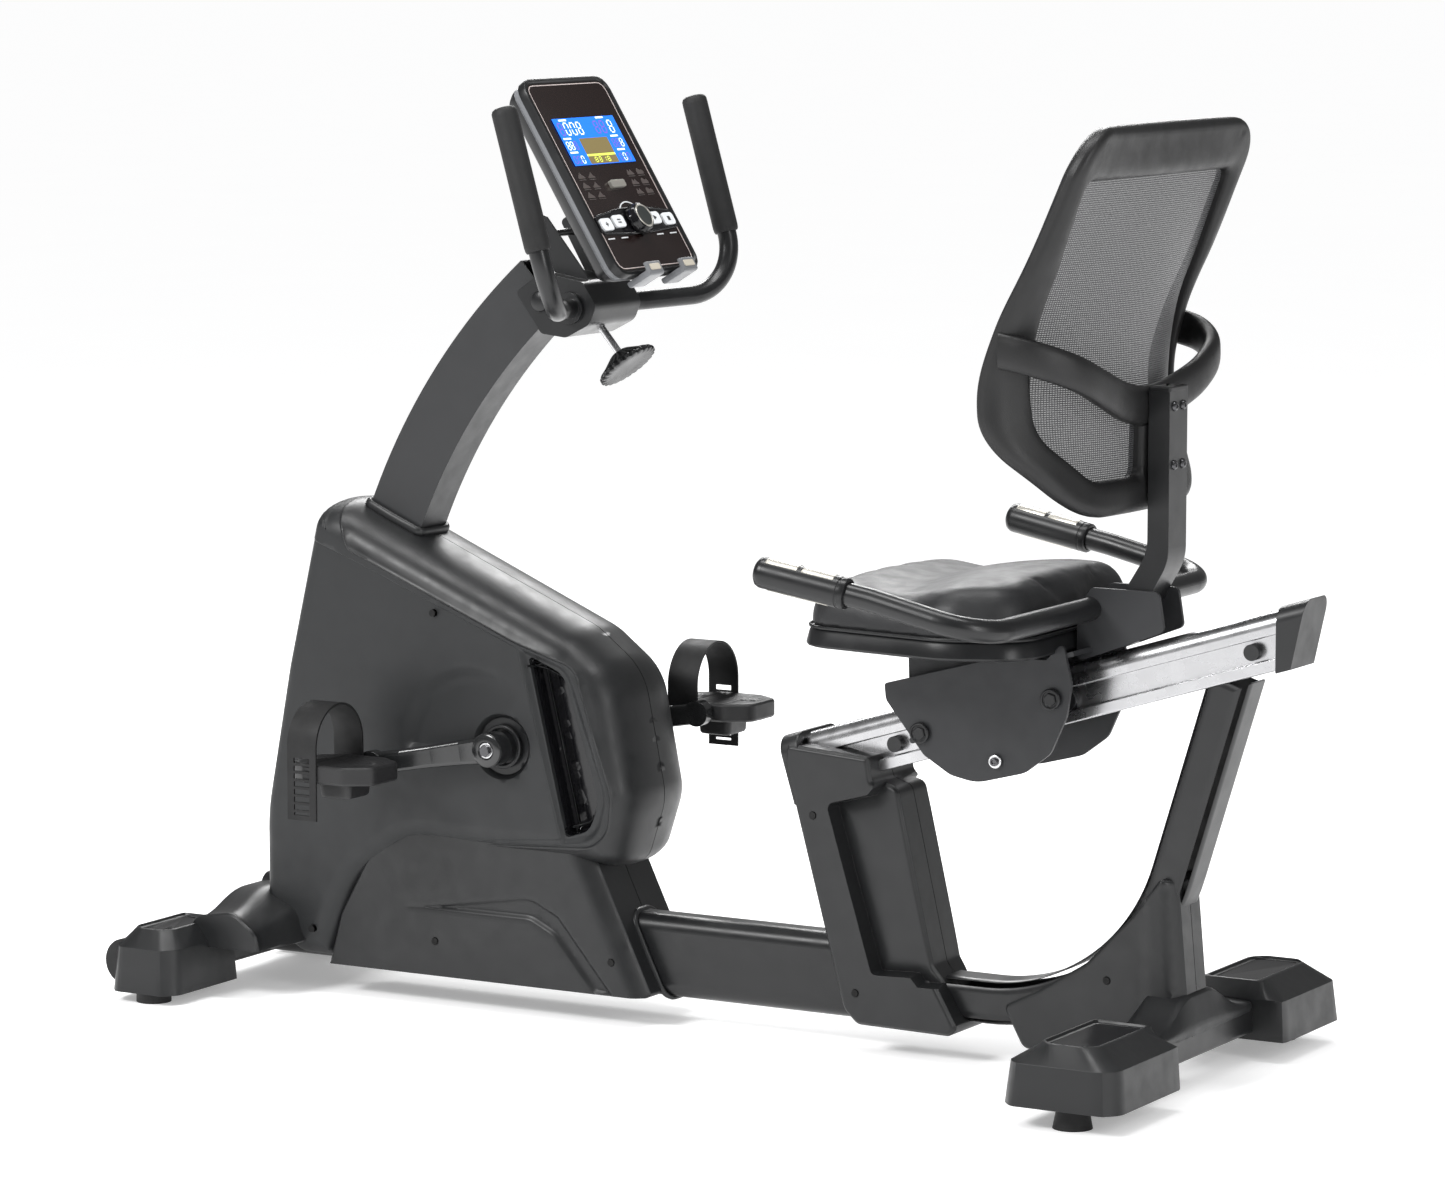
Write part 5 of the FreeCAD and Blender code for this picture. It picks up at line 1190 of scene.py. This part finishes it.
def dial_and_keys():
    """Winged bezel behind the keys, ribbed dial with its ring, and a mark on each key."""
    wing = rounded([(-94, 60), (-94, 86), (-26, 94), (26, 94), (94, 86), (94, 60), (26, 56), (-26, 56)],
                   [7, 7, 20, 20, 7, 7, 20, 20], 3)
    rings = stepped(wing, [(-2.4, 0), (-0.4, 0), (0.2, 0.5), (0.2, 1.6), (-0.6, 2.2)], on_face)
    loft("console_key_bezel", rings, "console", "gloss", "console_plastic", sharp=30)
    axis = Vector(on_console(1, 0, 0)) - Vector(on_console(0, 0, 0))
    base = on_console(0.4, 0, DIAL_UP)
    profile = [(0, 0), (20.5, 0), (21.6, 1.2), (21.2, 5), (18.6, 12.2), (17.4, 13.4), (16.6, 13.6)]
    dial = turned("console_dial_grip", [(base, axis)], profile, "console_dial", "gloss", "console_plastic",
                  96, 40, lambda angle, height: 0.018 * math.cos(12 * angle) if 0.5 < height < 12 else 0)
    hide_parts("console_dial")
    turned("console_dial_ring", [(base, axis)], [(16.7, 13.4), (15.9, 14.2), (14.6, 14.2), (14.0, 13.6)],
           "console_dial", "silver", "console_plastic", 64)
    turned("console_dial_face", [(base, axis)], [(14.1, 13.7), (10, 13.3), (0, 13.1)], "console_dial",
           "grey_dark", "console_plastic", 64)
    for index, y in enumerate(KEYS_ACROSS, start=1):
        up = 72 if abs(y) > 60 else 75
        shapes = {1: [bar_mark(y - 3, up, y + 3, up, 1.6), bar_mark(y, up - 3, y, up + 3, 1.6)],
                  2: [bar_mark(y - 4, up + rise, y + 4, up + rise, 1.5) for rise in (-2, 2)],
                  3: [[(y - 3, up - 3.5), (y + 4, up), (y - 3, up + 3.5)]],
                  4: [rectangle(y - 3, up - 3, y + 3, up + 3)]}[index]
        flat_marks("console_key_mark_%d" % index, [(shape, 2.3, 0) for shape in shapes], ["grey_dark"],
                   "console_key_%d" % index, "keys")


def console_clips():
    """Two device clips at the foot of the console, each with a pale pad."""
    for side_name, side in SIDES.items():
        profile = rounded([(-22, -1), (-22, -9.5), (16, -9.5), (16.5, 9), (11.5, 9), (11.5, -1)],
                          [2, 4, 4, 1.6, 1.2, 2], 3)
        rings = stepped(profile, [(-17, 1.2), (-16.6, 0.3), (-15, 0), (15, 0), (16.6, 0.3), (17, 1.2)],
                        lambda across, p: on_console(p[0], side * 42 + across, p[1]))
        loft("console_clip_" + side_name, rings, "console", "grey_plastic", "console_plastic")
        pad = rounded(rectangle(side * 42 - 12, -3.5, side * 42 + 12, 5), 2, 2)
        rings = stepped(pad, [(15.8, 0), (16.9, 0), (17.4, 0.6)], on_face)
        loft("console_clip_pad_" + side_name, rings, "console", "beige", "console_plastic", sharp=30)


# ------------------------------------------------------------------ bar, grips and knob

def sleeve_spots(tip, towards, back):
    """Start and direction of a sleeve on each side of the bike, set back past the tube's tip."""
    spots = []
    for side in SIDES.values():
        start, aim = (Vector((x, side * y, z)) for x, y, z in (tip, towards))
        direction = (aim - start).normalized()
        spots.append((start - direction * back, direction))
    return spots


def bar_foam():
    """Foam sleeves with rounded ends."""
    spots = sleeve_spots((-204.5, 232, 1173), (-134, 232, 926), 5.2)
    profile = [(0, 0), (6, 0.0), (11.5, 0.9), (14.6, 2.8), (16.3, 6.0), (16.5, 12), (16.4, 60), (16.5, 120),
               (16.5, 176), (16.0, 181), (14.8, 183.6), (12.9, 184)]
    foam = turned("handlebar_foam_sleeves", spots, profile, "handlebar", "foam", "foam", 40, 50)
    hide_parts("handlebar_foam")


def seat_grip_pieces():
    """Moulded grips with a domed end and inner collar, and their sensor plates."""
    spots = sleeve_spots((216, 332, 638), (360, 322, 612), 5)
    profile = [(0, 0), (8, 0.1), (13.5, 1.4), (17.2, 4.2), (18.9, 8.5), (19, 12), (19, 111), (18.2, 111.6),
               (18.2, 113.4), (19, 114), (19, 120), (18.2, 121.4), (15.2, 122)]
    grips = turned("seat_grip_bodies", spots, profile, "carriage", "trim", "foam", 56, 40)
    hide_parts("seat_grips")
    vertices, faces = [], []
    for base, axis in spots:
        side = Vector((0, 1, 0))
        up = side.cross(axis).normalized()
        if up.z < 0:
            up.negate()
        side = axis.cross(up)
        for start, end, middle, half in [(14, 56, 90, 40), (62, 104, 90, 40), (20, 100, 270, 26)]:
            angles = np.radians(np.linspace(middle - half, middle + half, 13))
            rows = [(start, 19.05), (start + 0.6, 19.6), (end - 0.6, 19.6), (end, 19.05)]
            first = len(vertices)
            for along, radius in rows:
                for k, angle in enumerate(angles):
                    reach = radius if 0 < k < 12 else 19.05
                    vertices.append(tuple(base + axis * along + side * (reach * math.cos(angle))
                                          + up * (reach * math.sin(angle))))
            for r in range(3):
                for k in range(12):
                    a = first + r * 13 + k
                    faces.append((a, a + 1, a + 14, a + 13))
    make_outward("seat_grip_sensors", vertices, faces, "carriage", "silver", "steel", 30)


def knob():
    """Oval ribbed clamp knob on its steel stem."""
    axis = Vector((math.cos(math.radians(-50)), 0, math.sin(math.radians(-50))))
    seat = Vector((-203, 0, 886))
    profile = [(0, 36), (12, 36), (15, 37.5), (30, 47), (38, 51), (40.5, 53), (41.2, 55.5), (40.4, 58),
               (36, 59.2), (24, 58.2), (0, 57.6)]

    def ribs(angle, height):
        return -0.09 * (0.5 - 0.5 * math.cos(24 * angle)) ** 2 if height > 46 else 0

    head = turned("clamp_knob_grip", [(seat, axis)], profile, "clamp_knob", "trim", "console_plastic", 192,
                  45, ribs)
    turned("clamp_knob_stem", [(seat, axis)], [(0, -8), (5, -8), (5, 36.5), (0, 36.5)], "clamp_knob",
           "steel", "steel", 24)
    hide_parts("clamp_knob")


# ------------------------------------------------------------------ pedals and straps

ARM_ANGLE = math.radians(9.6)
ARM_LENGTH = 170.0


def pedal_centre(side):
    """Middle of a pedal; the left crank points forward, the right one back."""
    return Vector((CRANK.x + side * ARM_LENGTH * math.cos(ARM_ANGLE), side * 195.0,
                   CRANK.z + side * ARM_LENGTH * math.sin(ARM_ANGLE)))


PEDAL_OUTLINE = rounded([(-63, -30), (-29, -52), (29, -52), (63, -30), (63, 30), (29, 52), (-29, 52),
                         (-63, 30)], [14, 12, 12, 14, 14, 12, 12, 14], 4)


def pedal_height(points):
    """Deck relief: rounded edge, ringed discs in the toes and cross ribs in the middle."""
    depth, _ = to_loop(points, PEDAL_OUTLINE)
    rise = 12.0 - 3.0 * (1 - smooth(depth, 0, 3)) ** 2
    rib = (np.abs(points[:, 0]) < 26) * (np.abs(points[:, 1]) < 44)
    rise = rise - 1.8 * rib * (0.5 + 0.5 * np.cos(points[:, 0] * 2 * math.pi / 8.5))
    for x in (-44, 44):
        away = np.hypot(points[:, 0] - x, points[:, 1])
        rise = rise + 1.3 * np.exp(-((away - 13) / 1.1) ** 2) + 1.0 * np.exp(-((away - 8) / 1.0) ** 2)
        rise = rise - 1.5 * (1 - smooth(away, 3.4, 4.6))
    return rise


def pedal(side_name):
    """Pedal deck with relief on both faces, a keel and a nut on its outer end."""
    centre = pedal_centre(SIDES[side_name])
    loops = [(circle((x, 0), 15, 30), [0, 1.5, 3, 5, 6.5, 8, 10, 11.5]) for x in (-44, 44)]
    flat, faces, rise = relief_mesh(PEDAL_OUTLINE, [0.6, 1.6, 3], loops, 3.4, pedal_height)
    placed = flat + np.array([centre.x, centre.y])
    deck = two_sided("pedal_" + side_name + "_deck", placed, faces, centre.z + rise, centre.z - rise,
                     side_name + "_pedal", "pedal_plastic", "pedal_plastic", 40, along="z")
    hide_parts("pedal_" + side_name)
    rings = []
    for z, inset in [(-11, 0), (-30, 1), (-33, 2.5), (-34, 5)]:
        keel = rounded(rectangle(-24 + inset, -26 + inset, 24 - inset, 26 - inset), 5, 4)
        rings.append([(centre.x + p[0], centre.y + p[1], centre.z + z) for p in even(keel, 40)])
    loft("pedal_" + side_name + "_keel", rings, side_name + "_pedal", "pedal_plastic", "pedal_plastic")


def strap(side_name):
    """Toe strap: wide arch over the pedal, with ladder slots down its outer end and tail."""
    centre = pedal_centre(SIDES[side_name])
    half, rise, thick = 52.0, 84.0, 3.0
    spring = rise - half
    straight = spring + 14.0
    outer = SIDES[side_name]
    tail = 46.0
    total = tail + 2 * straight + math.pi * half
    columns = 90
    rows = [-52.0, -47.0, -42.0, -18.0, -13.0, -8.0]
    vertices, faces = [], []

    def at(distance, out):
        if distance < tail + straight:
            return (outer * (half + out), -14 - tail + distance)
        if distance > total - straight:
            return (-outer * (half + out), -14 + total - distance)
        turn = (distance - tail - straight) / half
        return (outer * (half + out) * math.cos(turn), spring + (half + out) * math.sin(turn))

    layer = (columns + 1) * len(rows)
    for out in (0.0, thick):
        for c in range(columns + 1):
            y, z = at(total * c / columns, out)
            vertices += [(centre.x + x, centre.y + y, centre.z + z) for x in rows]
    solid = [(c, r) for c in range(columns) for r in range(len(rows) - 1)
             if not (r == 2 and 2 <= c <= 24 and c % 3 != 0)]
    filled = set(solid)
    for c, r in solid:
        a = c * len(rows) + r
        quad = (a, a + 1, a + 1 + len(rows), a + len(rows))
        faces.append(quad)
        faces.append(tuple(v + layer for v in quad[::-1]))
        edges = {(c, r - 1): (a + len(rows), a), (c, r + 1): (a + 1, a + 1 + len(rows)),
                 (c - 1, r): (a, a + 1), (c + 1, r): (a + 1 + len(rows), a + len(rows))}
        for place_at, (i, j) in edges.items():
            if place_at not in filled:
                faces.append((j, i, i + layer, j + layer))
    band = make_outward("strap_" + side_name + "_band", vertices, faces, side_name + "_pedal", "rubber",
                        "pedal_plastic", 35)
    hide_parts("strap_" + side_name)


# ------------------------------------------------------------------ bolts, caps and small trim

def hexagon(name, spots, size, height, body, materials, slot):
    """Hexagonal heads with softened corners."""
    turned(name, spots, [(0, height), (size * 0.86, height), (size, height - 0.8), (size, 0), (0, 0)], body,
           materials, slot, 6, 30)


def mirrored(y, spots):
    """Places (x, z) on both sides of the bike, each with its outward axis."""
    return [((x, side * y, z), (0, side, 0)) for side in SIDES.values() for x, z in spots]


def small_trim():
    """Bolt caps on the carriage plates, crank bosses, nuts and collars, and plugs in the bar head."""
    caps = mirrored(85.1, [(301, 417), (480, 472)])
    rim = [(0, 0), (13.2, 0), (13.2, 2.6), (12.0, 3.6), (10.4, 3.6), (9.8, 2.2), (0, 2.2)]
    turned("carriage_bolt_rims", caps, rim, "carriage", "trim", "frame_paint", 40)
    hexagon("carriage_bolt_caps", caps, 8.6, 4.4, "carriage", "trim", "frame_paint")
    washers = mirrored(85.1, [(405, 390)])
    disc = [(0, 0), (8.6, 0), (8.6, 1.2), (8.0, 1.8), (5.4, 1.8), (5.4, 1.0), (0, 1.0)]
    turned("carriage_washers", washers, disc, "carriage", "steel", "steel", 36)
    screw = [(0, 4.2), (2.2, 4.2), (2.6, 6.2), (4.4, 6.2), (5.0, 5.4), (5.0, 0)]
    turned("carriage_socket_screws", washers, screw, "carriage", "steel_dark", "steel", 28)
    hub = [(CRANK.x, CRANK.z)]
    boss = [(10.4, 0), (21.6, 0), (21.2, 2.0), (19.4, 3.2), (12.0, 3.4), (10.6, 2.4)]
    turned("crank_boss_rims", mirrored(119.6, hub), boss, "crank", "crank_paint", "crank_paint", 48)
    hexagon("crank_nuts", mirrored(122.0, hub), 8.2, 5.0, "crank", "steel_dark", "steel")
    collar = [(23, 0), (28.5, 0), (28.5, 3.4), (27.4, 4.6), (24.6, 4.6), (23.4, 3.2), (23, 0)]
    turned("crank_collars", mirrored(81.0, hub), collar, "frame", "trim", "housing_plastic", 60)
    plug = [(13.4, 0), (13.4, 2.6), (12.2, 4.8), (8.6, 6.4), (4, 7.2), (0, 7.4)]
    turned("head_plugs", mirrored(56.0, [(-262, 925)]), plug, "frame", "trim", "frame_paint", 36)


console_body()
console_display()
console_graphics()
dial_and_keys()
console_clips()
bar_foam()
seat_grip_pieces()
knob()
for side_name in SIDES:
    pedal(side_name)
    strap(side_name)
small_trim()


# ------------------------------------------------------------------ finishes on CAD nodes

FINISHES = {
    "paint": ["main_tube", "front_stabiliser", "rear_stabiliser", "rail_post", "rear_tube", "drive_frame",
              "bar_head", "seat_lever", "backrest_post", "handlebar", "seat_handlebar"],
    "mast_paint": ["mast"],
    "plate_paint": ["carriage_frame"],
    "shell": ["rail_fittings"],
    "aluminium": ["seat_rail"],
    "steel": ["crank_axle", "crank_bearings"],
    # The cover screws get the near-black painted shade of the screw holes.
    "hole": ["cover_screws"],
    "crank_paint": ["crank_arm_left", "crank_arm_right"],
    "trim": ["drive_pulley", "idler_pulley", "front_rollers", "rear_rollers"],
    "iron": ["flywheel", "brake_magnet"],
    "rubber": ["drive_belt", "front_pads", "rear_foot_left", "rear_foot_right", "transport_wheel_left",
               "transport_wheel_right"],
    "white_key": ["console_key_1", "console_key_2", "console_key_3", "console_key_4"],
    "silver": ["console_button"],
}
for finish, nodes in FINISHES.items():
    for node in nodes:
        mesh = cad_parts[node].data
        mesh.materials.clear()
        mesh.materials.append(MATERIALS[finish])


# ------------------------------------------------------------------ studio

FLOOR_HALF = 150.0
FLOOR_GLOW = 0.27
SKY_LEVEL, SKY_IN_REFLECTIONS = 0.76, 0.20
CAMERA_AZIMUTH, CAMERA_ELEVATION = 30, 7.381
CAMERA_LENS = 134.2

def area_light(name, place_at, target, width, height, power):
    """Soft rectangular light aimed at a point."""
    data = bpy.data.lights.new(name, "AREA")
    data.shape = "RECTANGLE"
    data.size, data.size_y = width, height
    data.energy = power
    light = bpy.data.objects.new(name, data)
    bpy.context.scene.collection.objects.link(light)
    light.location = place_at
    light.rotation_mode = "QUATERNION"
    light.rotation_quaternion = (Vector(target) - Vector(place_at)).to_track_quat("-Z", "Y")


def studio():
    """Pale floor that runs out of view, soft lights, and surroundings dimmer in reflections."""
    material, tree, shader = new_material("floor_paint", (0.93, 0.93, 0.93), 0.8)
    shader.inputs["Specular IOR Level"].default_value = 0.0
    shader.inputs["Emission Color"].default_value = (1.0, 1.0, 1.0, 1.0)
    shader.inputs["Emission Strength"].default_value = FLOOR_GLOW
    cloud = noise(tree, place(tree), 2, 2)
    tree.links.new(tint(tree, cloud, (0.925, 0.925, 0.93), (0.94, 0.94, 0.94)), shader.inputs["Base Color"])
    mesh = bpy.data.meshes.new("floor")
    corners = rectangle(-FLOOR_HALF, -FLOOR_HALF, FLOOR_HALF, FLOOR_HALF)
    mesh.from_pydata([(x, y, 0) for x, y in corners], [], [(0, 1, 2, 3)])
    mesh.materials.append(material)
    floor = bpy.data.objects.new("floor", mesh)
    bpy.context.scene.collection.objects.link(floor)
    world = bpy.data.worlds.new("studio")
    bpy.context.scene.world = world
    world.use_nodes = True
    nodes, links = world.node_tree.nodes, world.node_tree.links
    path = nodes.new("ShaderNodeLightPath")
    level = nodes.new("ShaderNodeMapRange")
    level.inputs["To Min"].default_value = SKY_LEVEL
    level.inputs["To Max"].default_value = SKY_IN_REFLECTIONS
    links.new(path.outputs["Is Glossy Ray"], level.inputs["Value"])
    links.new(level.outputs["Result"], nodes["Background"].inputs["Strength"])
    nodes["Background"].inputs["Color"].default_value = (1.0, 1.0, 1.0, 1)
    bpy.context.scene.view_settings.view_transform = "Standard"
    area_light("key", (-1.6, -3.4, 3.2), (-0.2, 0, 0.5), 1.6, 1.0, 130)
    area_light("fill", (3.8, -1.6, 1.9), (0.3, 0, 0.6), 0.7, 2.2, 46)
    area_light("rim", (-1.7, 2.9, 2.7), (0.0, 0, 0.6), 2.2, 0.9, 85)
    area_light("top", (0.0, -0.2, 3.4), (0.0, 0, 0.5), 2.6, 0.6, 55)


def camera():
    """Camera at the reference view: 30 degrees towards the rear, a little above the horizon."""
    data = bpy.data.cameras.new("camera")
    data.sensor_width = 36.0
    data.lens = CAMERA_LENS
    data.clip_end = 100
    obj = bpy.data.objects.new("camera", data)
    bpy.context.scene.collection.objects.link(obj)
    azimuth, elevation = math.radians(CAMERA_AZIMUTH), math.radians(CAMERA_ELEVATION)
    right = Vector((math.cos(azimuth), math.sin(azimuth), 0))
    back = Vector((math.sin(azimuth) * math.cos(elevation), -math.cos(azimuth) * math.cos(elevation),
                   math.sin(elevation)))
    up = back.cross(right)
    pose = Matrix((right, up, back)).transposed().to_4x4()
    pose.translation = Vector((3.359 + SHIFT * MM, -5.866, 1.429))
    obj.matrix_world = pose
    bpy.context.scene.camera = obj


studio()
camera()
